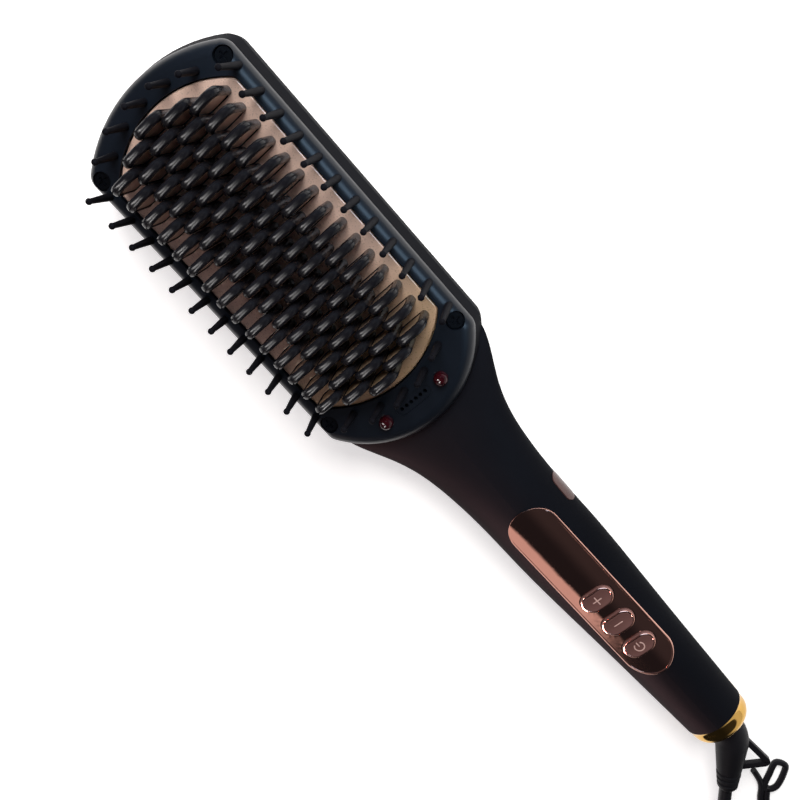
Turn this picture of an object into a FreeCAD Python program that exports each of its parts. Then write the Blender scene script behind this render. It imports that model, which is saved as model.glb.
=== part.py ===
import FreeCAD, Part
import math
import os

os.makedirs("parts", exist_ok=True)

V = FreeCAD.Vector
UP = V(0, 0, 1)

# The brush lies on its back with the pins up. +X runs along the handle to the cord,
# +Y to the brush's right side, +Z up. Millimetres; z = 0 is the table.

# Whole brush
FACE_Z = 28.0
WALL = 2.4
EDGE_GAP = 0.05
RUN_GAP = 0.3

# Head, measured along the brush from the middle of the heating plate
HEAD_TOP = 68.3
HEAD_END = HEAD_TOP + 8.2
HEAD_HALF = 33.35
HEAD_TOP_ARC = HEAD_HALF + 20.6
HEAD_END_ARC = HEAD_HALF + 5.6
HEAD_CORNER = 6.5
CORNER_REACH = math.sqrt((HEAD_END_ARC - HEAD_CORNER) ** 2 - (HEAD_HALF - HEAD_CORNER) ** 2)
CORNER_X = HEAD_END - HEAD_END_ARC + CORNER_REACH
PART_Z = 17.0
SEAT_Z = FACE_Z - 5.0
RIM_INSET = 1.7
FRAME_ROUND = 0.88 * (FACE_Z - SEAT_Z)
UPPER_WALL = 3.2

# Heating plate, fins and guard pins
PLATE_HALF = HEAD_HALF - 7.15
PLATE_REACH = HEAD_TOP - 11.6
PLATE_ARC = PLATE_HALF + 10.8
PLATE_CORNER = 3.0
PLATE_SINK = 0.8
PLATE_BEVEL = 0.7
PLATE_LEDGE = 2.0
PLATE_LEDGE_H = 1.6
FIN_COUNTS = (15, 16, 17, 16, 15)
FIN_PITCH = (2 * PLATE_REACH - 4.2) / max(FIN_COUNTS)
FIN_COLUMN = (PLATE_HALF - 9.0) / 2
FIN_SPAN = FIN_COLUMN + 2.7
FIN_HEIGHT = 16.0
FIN_THICK = 0.4826 * FIN_PITCH
FIN_ROUND = 0.372 * FIN_SPAN
CAP_THICK = 0.9
CORE_INSET = 0.35
PIN_ROW = HEAD_HALF - 4.25
PIN_PITCH = 0.1492 * PLATE_REACH
PIN_PER_SIDE = 10
PIN_CORNER_X = CORNER_X - 8.15
PIN_END_POINTS = ((PLATE_REACH + 2.9, 0.0), (PLATE_REACH + 1.9, 9.5), (PLATE_REACH - 1.7, 18.5))
PIN_HEIGHT = 17.8
PIN_BASE_R = 1.3
PIN_NECK_R = 0.85
PIN_BALL_R = 1.05
PIN_LEAN = 3.5

# Frame fittings
SCREW_X = CORNER_X - 3.15
SCREW_Y = HEAD_HALF - 5.7
SCREW_R = 1.5
SCREW_HEAD_R = 2.7
SCREW_HEAD_H = 1.8
RECESS_R = 3.1
RECESS_DEPTH = 3.2
BOSS_R = 3.2
LAMP_X = PLATE_REACH + 7.3
LAMP_Y = 11.9
LAMP_R = 2.4
OUTLET_LENGTH = 14.0
OUTLET_WIDTH = 4.4

# Heater stack under the plate
HEATER_REACH = PLATE_REACH - 11.7
HEATER_INNER = 3.0
HEATER_OUTER = PLATE_HALF - 11.2
HEATER_T = 2.0
SHEET_REACH = PLATE_REACH - 6.7
SHEET_HALF = PLATE_HALF - 6.2
SHEET_T = 0.4
CLAMP_REACH = PLATE_REACH - 8.7
CLAMP_HALF = PLATE_HALF - 9.2
CLAMP_T = 1.2
CLAMP_DROP = 3.0
CLAMP_SLOT = 8.0
CLAMP_SCREW_U = PLATE_REACH - 16.7
LEAD_R = 0.8

# Handle
GRIP_RUN = 119.7
RING_LENGTH = 7.6
RING_HALF = 12.1
END_AXIS_Z = 10.2
END_UP = 11.6
END_DOWN = 9.7
NECK_U = HEAD_END - 5.5
NECK_END_U = HEAD_END + 35.5
HANDLE_HALF = 16.1
NECK_TOP_Z = 26.8
NECK_LOW_Z = 4.2
HANDLE_STEPS = 15

# Panel, buttons and badge
PANEL_FROM = 5.6
PANEL_LENGTH = 0.678 * GRIP_RUN
PANEL_WIDTH = 18.3
PANEL_PROUD = 0.4
PANEL_DEPTH = 1.3
BUTTON_PITCH = 12.0
BUTTON_LAST = 14.4
BUTTON_X = 8.0
BUTTON_Y = 12.5
BUTTON_PROUD = 1.6
BUTTON_TRAVEL = 0.8
BUTTON_FLANGE = 0.9
BADGE_FROM = 4.3
BADGE_LENGTH = 12.0
BADGE_HEIGHT = 5.5

# Electronics
BOARD_FROM = 9.0
SWIVEL_ROOM = 31.2
BOARD_WIDTH = 17.0
BOARD_THICK = 1.6
BOARD_Z = 11.4
BOARD_SCREW_R = 0.98
BOARD_SCREW_HEAD_R = 2.0
BOARD_SCREW_HEAD_H = 1.4
BOARD_SCREW_DEPTH = 4.5
SWITCH_SIZE = 6.0
SWITCH_H = 3.2
PLUNGER_H = 0.8

# Cord entry, cord and plug
CORD_R = 2.5
STUB_R = 6.2
BORE_GAP = 0.4
BEND_REACH = 5.2
BOOT_LENGTH = 25.5
BOOT_TIP_R = 3.3
BOOT_TURN = -40.0
LOOP_BAR = 2.2
TIE_R = 1.25
STRAP = 0.8
TURN_GAP = 0.5
COIL_R = 34.0
COIL_PASS_TURNS = 2.5
COIL_LAYERS = 4
COIL_RUN = 54.0
PLUG_W = 35.0
PLUG_T = 13.7
PLUG_LENGTH = 28.0
RELIEF_LENGTH = 12.0
PLUG_PIN_R = 2.0
PLUG_PIN_LENGTH = 19.0
PLUG_PIN_SPACING = 19.0

# Placements that follow from the sizes above
BODY_LENGTH = HEAD_TOP + NECK_END_U + GRIP_RUN + RING_LENGTH
X_TOP = -BODY_LENGTH / 2
X_END = BODY_LENGTH / 2
HX = X_TOP + HEAD_TOP
RING_X = X_END - RING_LENGTH
NECK_X = HX + NECK_U
GRIP_X = HX + NECK_END_U
PLATE_TOP = FACE_Z - PLATE_SINK
LEDGE_Z = SEAT_Z - PLATE_LEDGE_H
HEATER_Z = LEDGE_Z - HEATER_T
CLAMP_Z = HEATER_Z - SHEET_T - CLAMP_T
CLAMP_US = (-CLAMP_SCREW_U, 0.0, CLAMP_SCREW_U)
PANEL_X = GRIP_X + PANEL_FROM + PANEL_LENGTH / 2
LAST_BUTTON_X = PANEL_X + PANEL_LENGTH / 2 - BUTTON_LAST
BUTTON_XS = tuple(LAST_BUTTON_X - i * BUTTON_PITCH for i in (2, 1, 0))
SWITCH_TOP = BOARD_Z + BOARD_THICK + SWITCH_H + PLUNGER_H
FLANGE_Z = SWITCH_TOP + BUTTON_TRAVEL + 0.2


def save(name, shape):
    """Write one named piece."""
    shape.exportStep("parts/" + name + ".step")
    solids = len(shape.Solids)
    print(name, "solids", solids, "volume", round(shape.Volume, 1), "valid", shape.isValid())


def box(x0, x1, y0, y1, z0, z1):
    return Part.makeBox(x1 - x0, y1 - y0, z1 - z0, V(x0, y0, z0))


def rod(radius, x, y, z0, z1):
    return Part.makeCylinder(radius, z1 - z0, V(x, y, z0))


def shaft(radius, x0, x1, y, z):
    return Part.makeCylinder(radius, x1 - x0, V(x0, y, z), V(1, 0, 0))


def fuse(shapes):
    whole = shapes[0].multiFuse(shapes[1:]) if len(shapes) > 1 else shapes[0]
    return whole.removeSplitter()


def line(a, b):
    return Part.LineSegment(a, b).toShape()


def arc(a, mid, b):
    return Part.Arc(a, mid, b).toShape()


def paddle(half, top, end, top_arc, end_arc, corner, z):
    """Outline with straight sides, arched ends and rounded corners, round the plate's middle."""
    marks = {}
    for sign, reach, radius in ((1, end, end_arc), (-1, top, top_arc)):
        centre = sign * (reach - radius)
        corner_y = half - corner
        lever = radius - corner
        corner_x = centre + sign * math.sqrt(lever ** 2 - corner_y ** 2)
        ux = (corner_x - centre) / lever
        uy = corner_y / lever
        scale = corner / math.hypot(ux, uy + 1)
        mid = (corner_x + ux * scale, corner_y + (uy + 1) * scale)
        touch = (centre + ux * radius, uy * radius)
        marks[sign] = (corner_x, mid, touch, sign * reach)

    def at(x, y):
        return V(HX + x, y, z)

    edges = []
    start_x = marks[-1][0]
    end_x = marks[1][0]
    edges.append(line(at(start_x, half), at(end_x, half)))
    mid, touch, apex = marks[1][1:]
    edges.append(arc(at(end_x, half), at(*mid), at(*touch)))
    edges.append(arc(at(*touch), at(apex, 0), at(touch[0], -touch[1])))
    edges.append(arc(at(touch[0], -touch[1]), at(mid[0], -mid[1]), at(end_x, -half)))
    edges.append(line(at(end_x, -half), at(start_x, -half)))
    mid, touch, apex = marks[-1][1:]
    edges.append(arc(at(start_x, -half), at(mid[0], -mid[1]), at(touch[0], -touch[1])))
    edges.append(arc(at(touch[0], -touch[1]), at(apex, 0), at(*touch)))
    edges.append(arc(at(*touch), at(*mid), at(start_x, half)))
    return Part.Wire(edges)


def head_outline(inset, z):
    corner = max(HEAD_CORNER - inset, 5.0)
    return paddle(
        HEAD_HALF - inset, HEAD_TOP - inset, HEAD_END - inset,
        HEAD_TOP_ARC - inset, HEAD_END_ARC - inset, corner, z,
    )


def plate_outline(grow, z):
    return paddle(
        PLATE_HALF + grow, PLATE_REACH + grow, PLATE_REACH + grow,
        PLATE_ARC + grow, PLATE_ARC + grow, PLATE_CORNER + grow, z,
    )


def prism(wire, height):
    return Part.Face(wire).extrude(V(0, 0, height))


def stadium(cx, cy, length, width, z):
    """Flat oval in a level plane, its straight sides along X."""
    r = width / 2
    half = length / 2 - r
    edges = [
        line(V(cx - half, cy + r, z), V(cx + half, cy + r, z)),
        arc(V(cx + half, cy + r, z), V(cx + half + r, cy, z), V(cx + half, cy - r, z)),
        line(V(cx + half, cy - r, z), V(cx - half, cy - r, z)),
        arc(V(cx - half, cy - r, z), V(cx - half - r, cy, z), V(cx - half, cy + r, z)),
    ]
    return Part.Wire(edges)


def cross_stadium(cx, length, width, z):
    """Flat oval in a level plane, its straight sides along Y."""
    wire = stadium(0, 0, length, width, 0)
    wire.rotate(V(0, 0, 0), UP, 90)
    wire.translate(V(cx, 0, z))
    return wire


def head_bowl(wall):
    """Rounded back of the head up to the parting plane."""
    rows = ((0.0, 13.0), (1.2, 7.8), (4.5, 2.9), (10.0, 0.45), (PART_Z, 0.0))
    lift = (PART_Z - wall) / PART_Z
    wires = [head_outline(inset + wall, wall + z * lift) for z, inset in rows]
    return Part.makeLoft(wires, True, False)


def parting_z(x):
    """Height of the widest line of the neck and handle."""
    if x <= NECK_X:
        return PART_Z
    return PART_Z + (END_AXIS_Z - PART_Z) * (x - NECK_X) / (RING_X - NECK_X)


def top_line(x):
    """Top of the handle along the grip."""
    return NECK_TOP_Z + (END_AXIS_Z + END_UP - NECK_TOP_Z) * (x - GRIP_X) / GRIP_RUN


def low_line(x):
    """Underside of the handle along the grip."""
    return NECK_LOW_Z + (END_AXIS_Z - END_DOWN - NECK_LOW_Z) * (x - GRIP_X) / GRIP_RUN


def oval(x, half, top, low, middle):
    """Egg-shaped section across the handle: two half ellipses that share their widest line."""
    centre = V(x, 0, middle)
    side = V(x, half, middle)
    upper = Part.Ellipse(side, V(x, 0, top), centre)
    lower = Part.Ellipse(V(x, -half, middle), V(x, 0, low), centre)
    quarter = math.pi / 2
    edges = []
    for curve in (upper, lower):
        edges.append(Part.ArcOfEllipse(curve, 0, quarter).toShape())
        edges.append(Part.ArcOfEllipse(curve, quarter, math.pi).toShape())
    return Part.Wire(edges)


def handle_rows():
    """Stations along the neck and grip: place, half width, top and underside."""
    end = HX + HEAD_END
    rows = [
        (end - 20.5, HEAD_HALF - 1.9, 20.0, 4.0),
        (end - 10.5, HEAD_HALF - 3.75, 21.5, 4.2),
        (end - 0.5, HEAD_HALF - 8.9, 22.8, 4.6),
        (end + 13.5, HANDLE_HALF + 3.2, 24.7, 4.8),
        (GRIP_X, HANDLE_HALF + 0.4, NECK_TOP_Z, NECK_LOW_Z),
    ]
    for share, half in ((0.27, HANDLE_HALF), (0.64, HANDLE_HALF - 2.1), (1.0, RING_HALF)):
        x = GRIP_X + share * GRIP_RUN
        rows.append((x, half, top_line(x), low_line(x)))
    return rows


def blend_rows(rows, x):
    """Smooth values between the stations, with the slope at each taken from its neighbours."""
    last = len(rows) - 1
    i = max(k for k in range(last) if rows[k][0] <= x + 1e-6)
    span = rows[i + 1][0] - rows[i][0]
    t = (x - rows[i][0]) / span
    values = []
    for c in range(1, len(rows[0])):
        slopes = []
        for k in (i, i + 1):
            low = max(k - 1, 0)
            high = min(k + 1, last)
            slopes.append((rows[high][c] - rows[low][c]) / (rows[high][0] - rows[low][0]) * span)
        rise = rows[i + 1][c] - rows[i][c]
        bend = (1 - t) * (slopes[0] - rise) + t * (rise - slopes[1])
        values.append(rows[i][c] + t * rise + t * (1 - t) * bend)
    return values


def handle_form(grow):
    """Neck and handle as one smooth form, grown or shrunk evenly."""
    rows = handle_rows()
    start = rows[0][0]
    step = (rows[-1][0] - start) / HANDLE_STEPS
    wires = []
    for i in range(HANDLE_STEPS + 1):
        x = start + i * step
        half, top, low = blend_rows(rows, x)
        wires.append(oval(x, half + grow, top + grow, low - grow, parting_z(x)))
    return Part.makeLoft(wires, True, False)


def below_parting():
    """Everything under the parting line of the two shells."""
    far = RING_X + 20
    far_z = PART_Z + (END_AXIS_Z - PART_Z) * (far - NECK_X) / (RING_X - NECK_X)
    corners = [
        V(X_TOP - 10, -60, -20), V(X_TOP - 10, -60, PART_Z), V(NECK_X, -60, PART_Z),
        V(far, -60, far_z), V(far, -60, -20), V(X_TOP - 10, -60, -20),
    ]
    return Part.Face(Part.makePolygon(corners)).extrude(V(0, 120, 0))


def badge_prism():
    wire = stadium(0, 0, BADGE_LENGTH, BADGE_HEIGHT, 0)
    wire.rotate(V(0, 0, 0), V(1, 0, 0), 90)
    x = GRIP_X + BADGE_FROM + BADGE_LENGTH / 2
    wire.translate(V(x, 6, parting_z(x) + 2.2))
    return Part.Face(wire).extrude(V(0, 20, 0))


def panel_prism(grow):
    return prism(stadium(PANEL_X, 0, PANEL_LENGTH + 2 * grow, PANEL_WIDTH + 2 * grow, PART_Z), 20)


def button_prism(x, grow, z0, z1):
    return prism(cross_stadium(x, BUTTON_Y + 2 * grow, BUTTON_X + 2 * grow, z0), z1 - z0)


def screw_places():
    return [(HX + sx * SCREW_X, sy * SCREW_Y) for sx in (-1, 1) for sy in (-1, 1)]


def board_posts():
    return [BOARD_X0 + 3.2, BOARD_X1 - 4.4]


BOARD_X0 = GRIP_X + BOARD_FROM
BOARD_X1 = RING_X - SWIVEL_ROOM
BOARD_LENGTH = BOARD_X1 - BOARD_X0
DISPLAY_X0 = BOARD_X0 + 6.4
DISPLAY_X1 = BUTTON_XS[0] - 10.0
LAMP_BOARD_Z = 15.4
LAMP_BOARD_T = 1.2
ION_X0 = HX + HEAD_END + 9.5
ION_LENGTH = 22.0
ION_HALF = 7.0
ION_Z = 8.6
ION_H = 9.0
SOCKET_X0 = RING_X - 16.0
SOCKET_R = 6.4
SOCKET_BORE = 4.6
SOCKET_FLANGE_R = 8.4
SOCKET_FLANGE = 1.2
COLLAR_R = RING_HALF + 1.0
HUB_R = SOCKET_BORE - RUN_GAP
LIP_R = 5.6
SLIP_R = 3.9
CORE_R = 3.0
STUB_X0 = RING_X + SOCKET_FLANGE + 0.8


def make_rear_shell(form, inner, below):
    outer_bowl = head_bowl(0.0)
    shell = fuse([outer_bowl, form.common(below)])
    shell = shell.cut(head_bowl(WALL)).cut(inner)
    adds = []
    for x, y in screw_places():
        adds.append(rod(BOSS_R, x, y, 4.0, PART_Z).common(outer_bowl))
    for x in board_posts():
        adds.append(rod(2.4, x, 0, low_line(x) + 1.0, BOARD_Z))
    for y in (-6.0, 6.0):
        adds.append(rod(2.2, HX + LAMP_X, y, 1.5, LAMP_BOARD_Z))
    for x in (ION_X0 + 4, ION_X0 + ION_LENGTH - 4):
        adds.append(box(x - 1, x + 1, -ION_HALF, ION_HALF, 6.2, ION_Z))
    collar = shaft(COLLAR_R, SOCKET_X0 + 4, SOCKET_X0 + 10, 0, END_AXIS_Z)
    collar = collar.common(handle_form(-1.0)).common(below)
    adds.append(collar)
    shell = fuse([shell] + adds)
    for x, y in screw_places():
        shell = shell.cut(rod(SCREW_R, x, y, 7.0, PART_Z + 1))
    for x in board_posts():
        shell = shell.cut(rod(1.0, x, 0, BOARD_Z - 5.0, BOARD_Z + 1))
    shell = shell.cut(shaft(SOCKET_R, SOCKET_X0, RING_X + 5, 0, END_AXIS_Z))
    return shell.cut(badge_prism().cut(handle_form(-0.8)))


def make_front_shell(form, inner, below, panel_floor):
    upper = Part.makeLoft([head_outline(0.0, PART_Z), head_outline(RIM_INSET, SEAT_Z)], True, True)
    shell = fuse([upper, form.cut(below)])
    shell = shell.cut(prism(head_outline(UPPER_WALL, PART_Z - 1), SEAT_Z - PART_Z + 4)).cut(inner)
    bosses = [rod(BOSS_R, x, y, PART_Z, SEAT_Z).common(upper) for x, y in screw_places()]
    collar = shaft(COLLAR_R, SOCKET_X0 + 4, SOCKET_X0 + 10, 0, END_AXIS_Z)
    collar = collar.common(handle_form(-1.0)).cut(below)
    shell = fuse([shell, collar] + bosses)
    for x, y in screw_places():
        shell = shell.cut(rod(SCREW_R + 0.1, x, y, PART_Z - 1, SEAT_Z + 1))
    shell = shell.cut(shaft(SOCKET_R, SOCKET_X0, RING_X + 5, 0, END_AXIS_Z))
    shell = shell.cut(panel_prism(EDGE_GAP).cut(panel_floor))
    for x in BUTTON_XS:
        shell = shell.cut(button_prism(x, RUN_GAP, PART_Z - 2, PART_Z + 20))
    shell = shell.cut(box(DISPLAY_X0 - 1, DISPLAY_X1 + 1, -5, 5, PART_Z, PART_Z + 20))
    return shell.cut(badge_prism().cut(handle_form(-0.8)))


def make_control_panel(form_up, panel_floor):
    panel = panel_prism(0).common(form_up).cut(panel_floor)
    for x in BUTTON_XS:
        panel = panel.cut(button_prism(x, RUN_GAP, PART_Z - 2, PART_Z + 20))
    return panel


def make_button(x, cap_form):
    """Oval key with a domed top that follows the panel and a flange under the shell."""
    key = button_prism(x, 0, FLANGE_Z, PART_Z + 20).common(cap_form)
    flange = button_prism(x, BUTTON_FLANGE, FLANGE_Z, FLANGE_Z + 1.0)
    return fuse([key, flange])


def make_side_badge():
    return badge_prism().common(handle_form(0.3)).cut(handle_form(-0.8))


def make_head_frame():
    outline = head_outline(RIM_INSET, SEAT_Z)
    frame = prism(outline, FACE_Z - SEAT_Z)
    rim = [e for e in frame.Edges if min(v.Z for v in e.Vertexes) > FACE_Z - 0.01]
    frame = frame.makeFillet(FRAME_ROUND, rim)
    frame = frame.cut(prism(plate_outline(0.35, SEAT_Z - 1), FACE_Z))
    for x, y in screw_places():
        frame = frame.cut(rod(RECESS_R, x, y, FACE_Z - RECESS_DEPTH, FACE_Z + 1))
        frame = frame.cut(rod(SCREW_R + 0.1, x, y, SEAT_Z - 1, FACE_Z))
    for y in (-LAMP_Y, LAMP_Y):
        frame = frame.cut(rod(LAMP_R + EDGE_GAP, HX + LAMP_X, y, SEAT_Z - 1, FACE_Z + 1))
    slot = stadium(0, 0, OUTLET_LENGTH + 2 * EDGE_GAP, OUTLET_WIDTH + 2 * EDGE_GAP, 0)
    slot.rotate(V(0, 0, 0), UP, 90)
    slot.translate(V(HX + LAMP_X, 0, SEAT_Z - 1))
    return frame.cut(prism(slot, FACE_Z))


def make_guard_pins(frame):
    """Pins round the plate, leaning in a little, each with a ball tip and a foot on the frame."""
    neck_z = PIN_HEIGHT - 2 * PIN_BALL_R + 0.4
    foot = 2.4
    flare = (PIN_BASE_R - PIN_NECK_R) * foot / neck_z
    pin = Part.makeCone(PIN_BASE_R + flare, PIN_NECK_R, neck_z + foot, V(0, 0, -foot))
    pin = pin.fuse(Part.makeSphere(PIN_BALL_R, V(0, 0, PIN_HEIGHT - PIN_BALL_R)))
    pin.rotate(V(0, 0, 0), V(1, 0, 0), PIN_LEAN)
    pin = pin.removeSplitter()
    places = []
    for side in (-1, 1):
        xs = [PIN_PITCH * (i - (PIN_PER_SIDE - 1) / 2) for i in range(PIN_PER_SIDE)]
        for x in xs + [-PIN_CORNER_X, PIN_CORNER_X]:
            places.append((x, side * PIN_ROW, 0 if side > 0 else 180))
    for end in (-1, 1):
        for x, y in PIN_END_POINTS:
            for side in ((1, -1) if y else (1,)):
                angle = math.degrees(math.atan2(side * y, x)) - 90
                if end < 0:
                    angle = -angle
                places.append((end * x, side * y, angle))
    pins = []
    for x, y, angle in places:
        copy = pin.copy()
        copy.rotate(V(0, 0, 0), UP, angle)
        copy.translate(V(HX + x, y, FACE_Z))
        pins.append(copy.cut(frame))
    return Part.makeCompound(pins)


def make_heating_plate():
    plate = prism(plate_outline(0, LEDGE_Z), PLATE_TOP - LEDGE_Z)
    rim = [e for e in plate.Edges if min(v.Z for v in e.Vertexes) > PLATE_TOP - 0.01]
    plate = plate.makeFillet(PLATE_BEVEL, rim)
    ledge = prism(plate_outline(PLATE_LEDGE, LEDGE_Z), PLATE_LEDGE_H)
    plate = plate.fuse(ledge).removeSplitter()
    bosses = [rod(2.6, HX + u, 0, HEATER_Z, LEDGE_Z + 0.5) for u in CLAMP_US]
    plate = fuse([plate] + bosses)
    for u in CLAMP_US:
        plate = plate.cut(rod(1.2, HX + u, 0, HEATER_Z - 1, LEDGE_Z + 2.0))
    return plate


def make_heater_elements():
    strips = []
    for y0 in (-HEATER_OUTER, HEATER_INNER):
        y1 = y0 + HEATER_OUTER - HEATER_INNER
        strips.append(box(HX - HEATER_REACH, HX + HEATER_REACH, y0, y1, HEATER_Z, LEDGE_Z))
    return Part.makeCompound(strips)


def make_insulation_sheet():
    x0 = HX - SHEET_REACH
    x1 = HX + SHEET_REACH
    sheet = box(x0, x1, -SHEET_HALF, SHEET_HALF, HEATER_Z - SHEET_T, HEATER_Z)
    for u in CLAMP_US:
        sheet = sheet.cut(rod(1.3, HX + u, 0, HEATER_Z - 1, HEATER_Z + 1))
    return sheet


def make_heater_clamp():
    """Pressed steel tray with turned-down flanges and a row of slots."""
    low = CLAMP_Z
    x0 = HX - CLAMP_REACH
    x1 = HX + CLAMP_REACH
    tray = box(x0, x1, -CLAMP_HALF, CLAMP_HALF, low, low + CLAMP_T)
    for y0 in (-CLAMP_HALF, CLAMP_HALF - CLAMP_T):
        tray = tray.fuse(box(x0, x1, y0, y0 + CLAMP_T, low - CLAMP_DROP, low + CLAMP_T))
    for u in (-CLAMP_SCREW_U / 2, CLAMP_SCREW_U / 2):
        slot = cross_stadium(HX + u, 2 * CLAMP_HALF - 12, CLAMP_SLOT, low - 1)
        tray = tray.cut(prism(slot, CLAMP_T + 2))
    for u in CLAMP_US:
        tray = tray.cut(rod(1.3, HX + u, 0, low - 1, low + 3))
    return tray.removeSplitter()


def screw(x, y, head_z, head_r, head_h, shank_r, tip_z, turn_down):
    """Pan head screw with a cross recess; the head rises from head_z when turned down."""
    if turn_down:
        head = rod(head_r, x, y, head_z, head_z + head_h)
        body = rod(shank_r, x, y, tip_z, head_z + 0.2)
        cut_z = head_z + head_h - 0.8
    else:
        head = rod(head_r, x, y, head_z - head_h, head_z)
        body = rod(shank_r, x, y, head_z - 0.2, tip_z)
        cut_z = head_z - head_h - 0.2
    whole = head.fuse(body).removeSplitter()
    arm = head_r * 0.62
    slot = box(x - arm, x + arm, y - 0.4, y + 0.4, cut_z, cut_z + 1.0)
    slot = slot.fuse(box(x - 0.4, x + 0.4, y - arm, y + arm, cut_z, cut_z + 1.0))
    return whole.cut(slot)


def make_frame_screws():
    seat = FACE_Z - RECESS_DEPTH
    return Part.makeCompound([
        screw(x, y, seat, SCREW_HEAD_R, SCREW_HEAD_H, SCREW_R - 0.02, 7.5, True)
        for x, y in screw_places()
    ])


def make_clamp_screws():
    return Part.makeCompound([
        screw(HX + u, 0, CLAMP_Z, 2.4, 1.5, 1.18, LEDGE_Z + 1.5, False) for u in CLAMP_US
    ])


def make_board_screws():
    seat = BOARD_Z + BOARD_THICK
    tip = BOARD_Z - BOARD_SCREW_DEPTH
    return Part.makeCompound([
        screw(x, 0, seat, BOARD_SCREW_HEAD_R, BOARD_SCREW_HEAD_H, BOARD_SCREW_R, tip, True)
        for x in board_posts()
    ])


def make_temperature_sensor():
    bead = shaft(1.5, HX + 14, HX + 26, 0, HEATER_Z + 0.3)
    return bead.common(box(HX, HX + 40, -3, 3, HEATER_Z, LEDGE_Z)).fuse(
        box(HX + 15, HX + 25, -2.2, 2.2, HEATER_Z + 0.9, LEDGE_Z)).removeSplitter()


def make_thermal_fuse():
    radius = 1.9
    z = CLAMP_Z - radius
    body = shaft(radius, HX - 14, HX - 3.2, 8.0, z)
    return body.fuse(shaft(0.5, HX - 20, HX + 3, 8.0, z)).removeSplitter()


def place_fins(make):
    fins = []
    for column, count in enumerate(FIN_COUNTS):
        y = (column - (len(FIN_COUNTS) - 1) / 2) * FIN_COLUMN
        for i in range(count):
            copy = make.copy()
            copy.translate(V(HX + (i - (count - 1) / 2) * FIN_PITCH, y, PLATE_TOP))
            fins.append(copy)
    return Part.makeCompound(fins)


def fin_core_wire(x):
    """Inner outline of one fin, its shoulders cut straight."""
    half = FIN_SPAN / 2 - CAP_THICK
    top = FIN_HEIGHT - CAP_THICK
    cut = FIN_ROUND * 0.72
    corners = [
        V(x, -half, 0), V(x, -half, top - cut), V(x, -half + cut, top),
        V(x, half - cut, top), V(x, half, top - cut), V(x, half, 0), V(x, -half, 0),
    ]
    return Part.makePolygon(corners)


def fin_outer_wire(x):
    half = FIN_SPAN / 2
    r = FIN_ROUND
    k = r * (1 - math.sqrt(0.5))
    top = FIN_HEIGHT
    edges = [
        line(V(x, -half, 0), V(x, -half, top - r)),
        arc(V(x, -half, top - r), V(x, -half + k, top - k), V(x, -half + r, top)),
        line(V(x, -half + r, top), V(x, half - r, top)),
        arc(V(x, half - r, top), V(x, half - k, top - k), V(x, half, top - r)),
        line(V(x, half, top - r), V(x, half, 0)),
        line(V(x, half, 0), V(x, -half, 0)),
    ]
    return Part.Wire(edges)


def make_heating_fins():
    thick = FIN_THICK - 2 * CORE_INSET
    return place_fins(Part.Face(fin_core_wire(-thick / 2)).extrude(V(thick, 0, 0)))


def make_fin_caps():
    x = -FIN_THICK / 2
    outer = Part.Face(fin_outer_wire(x)).extrude(V(FIN_THICK, 0, 0))
    inner = Part.Face(fin_core_wire(x)).extrude(V(FIN_THICK, 0, 0))
    return place_fins(outer.cut(inner))


def make_indicator_lenses():
    """Domed lamps with a collar behind the frame."""
    lenses = []
    for y in (-LAMP_Y, LAMP_Y):
        x = HX + LAMP_X
        body = rod(LAMP_R, x, y, SEAT_Z - 1.2, FACE_Z + 1.0)
        dome = Part.makeSphere(LAMP_R, V(x, y, FACE_Z + 1.0))
        collar = rod(LAMP_R + 1.0, x, y, SEAT_Z - 1.2, SEAT_Z)
        lenses.append(body.fuse([dome, collar]).removeSplitter())
    return Part.makeCompound(lenses)


def make_ion_outlet():
    """Grille insert with a row of small holes."""
    insert = prism(cross_stadium(HX + LAMP_X, OUTLET_LENGTH, OUTLET_WIDTH, SEAT_Z), FACE_Z - SEAT_Z - 0.3)
    flange = prism(cross_stadium(HX + LAMP_X, OUTLET_LENGTH + 2, OUTLET_WIDTH + 2, SEAT_Z - 1), 1.0)
    insert = insert.fuse(flange).removeSplitter()
    for i in range(6):
        y = (i - 2.5) * 2.0
        insert = insert.cut(rod(0.65, HX + LAMP_X, y, SEAT_Z - 2, FACE_Z + 1))
    return insert


def make_indicator_board():
    board = box(HX + LAMP_X - 4, HX + LAMP_X + 4, -15, 15, LAMP_BOARD_Z, LAMP_BOARD_Z + LAMP_BOARD_T)
    top = LAMP_BOARD_Z + LAMP_BOARD_T
    leds = []
    for y in (-LAMP_Y, LAMP_Y):
        leds.append(rod(1.5, HX + LAMP_X, y, top, SEAT_Z - 1.5))
    return fuse([board] + leds)


def make_ion_needle():
    top = LAMP_BOARD_Z + LAMP_BOARD_T
    holder = rod(1.2, HX + LAMP_X, 1.0, top, top + 2.4)
    tip = Part.makeCone(0.4, 0.05, 2.4, V(HX + LAMP_X, 1.0, top + 2.4))
    return holder.fuse(tip).removeSplitter()


def make_ion_generator():
    body = box(ION_X0, ION_X0 + ION_LENGTH, -ION_HALF, ION_HALF, ION_Z, ION_Z + ION_H)
    upright = [e for e in body.Edges if abs(e.Vertexes[0].Z - e.Vertexes[-1].Z) > 1]
    return body.makeFillet(1.5, upright)


def make_control_board():
    board = box(BOARD_X0, BOARD_X1, -BOARD_WIDTH / 2, BOARD_WIDTH / 2, BOARD_Z, BOARD_Z + BOARD_THICK)
    for x in board_posts():
        board = board.cut(rod(1.1, x, 0, BOARD_Z - 1, BOARD_Z + 4))
    return board


def make_tact_switches():
    top = BOARD_Z + BOARD_THICK
    half = SWITCH_SIZE / 2
    switches = []
    for x in BUTTON_XS:
        body = box(x - half, x + half, -half, half, top, top + SWITCH_H)
        switches.append(body.fuse(rod(1.7, x, 0, top, SWITCH_TOP)).removeSplitter())
    return Part.makeCompound(switches)


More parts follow.
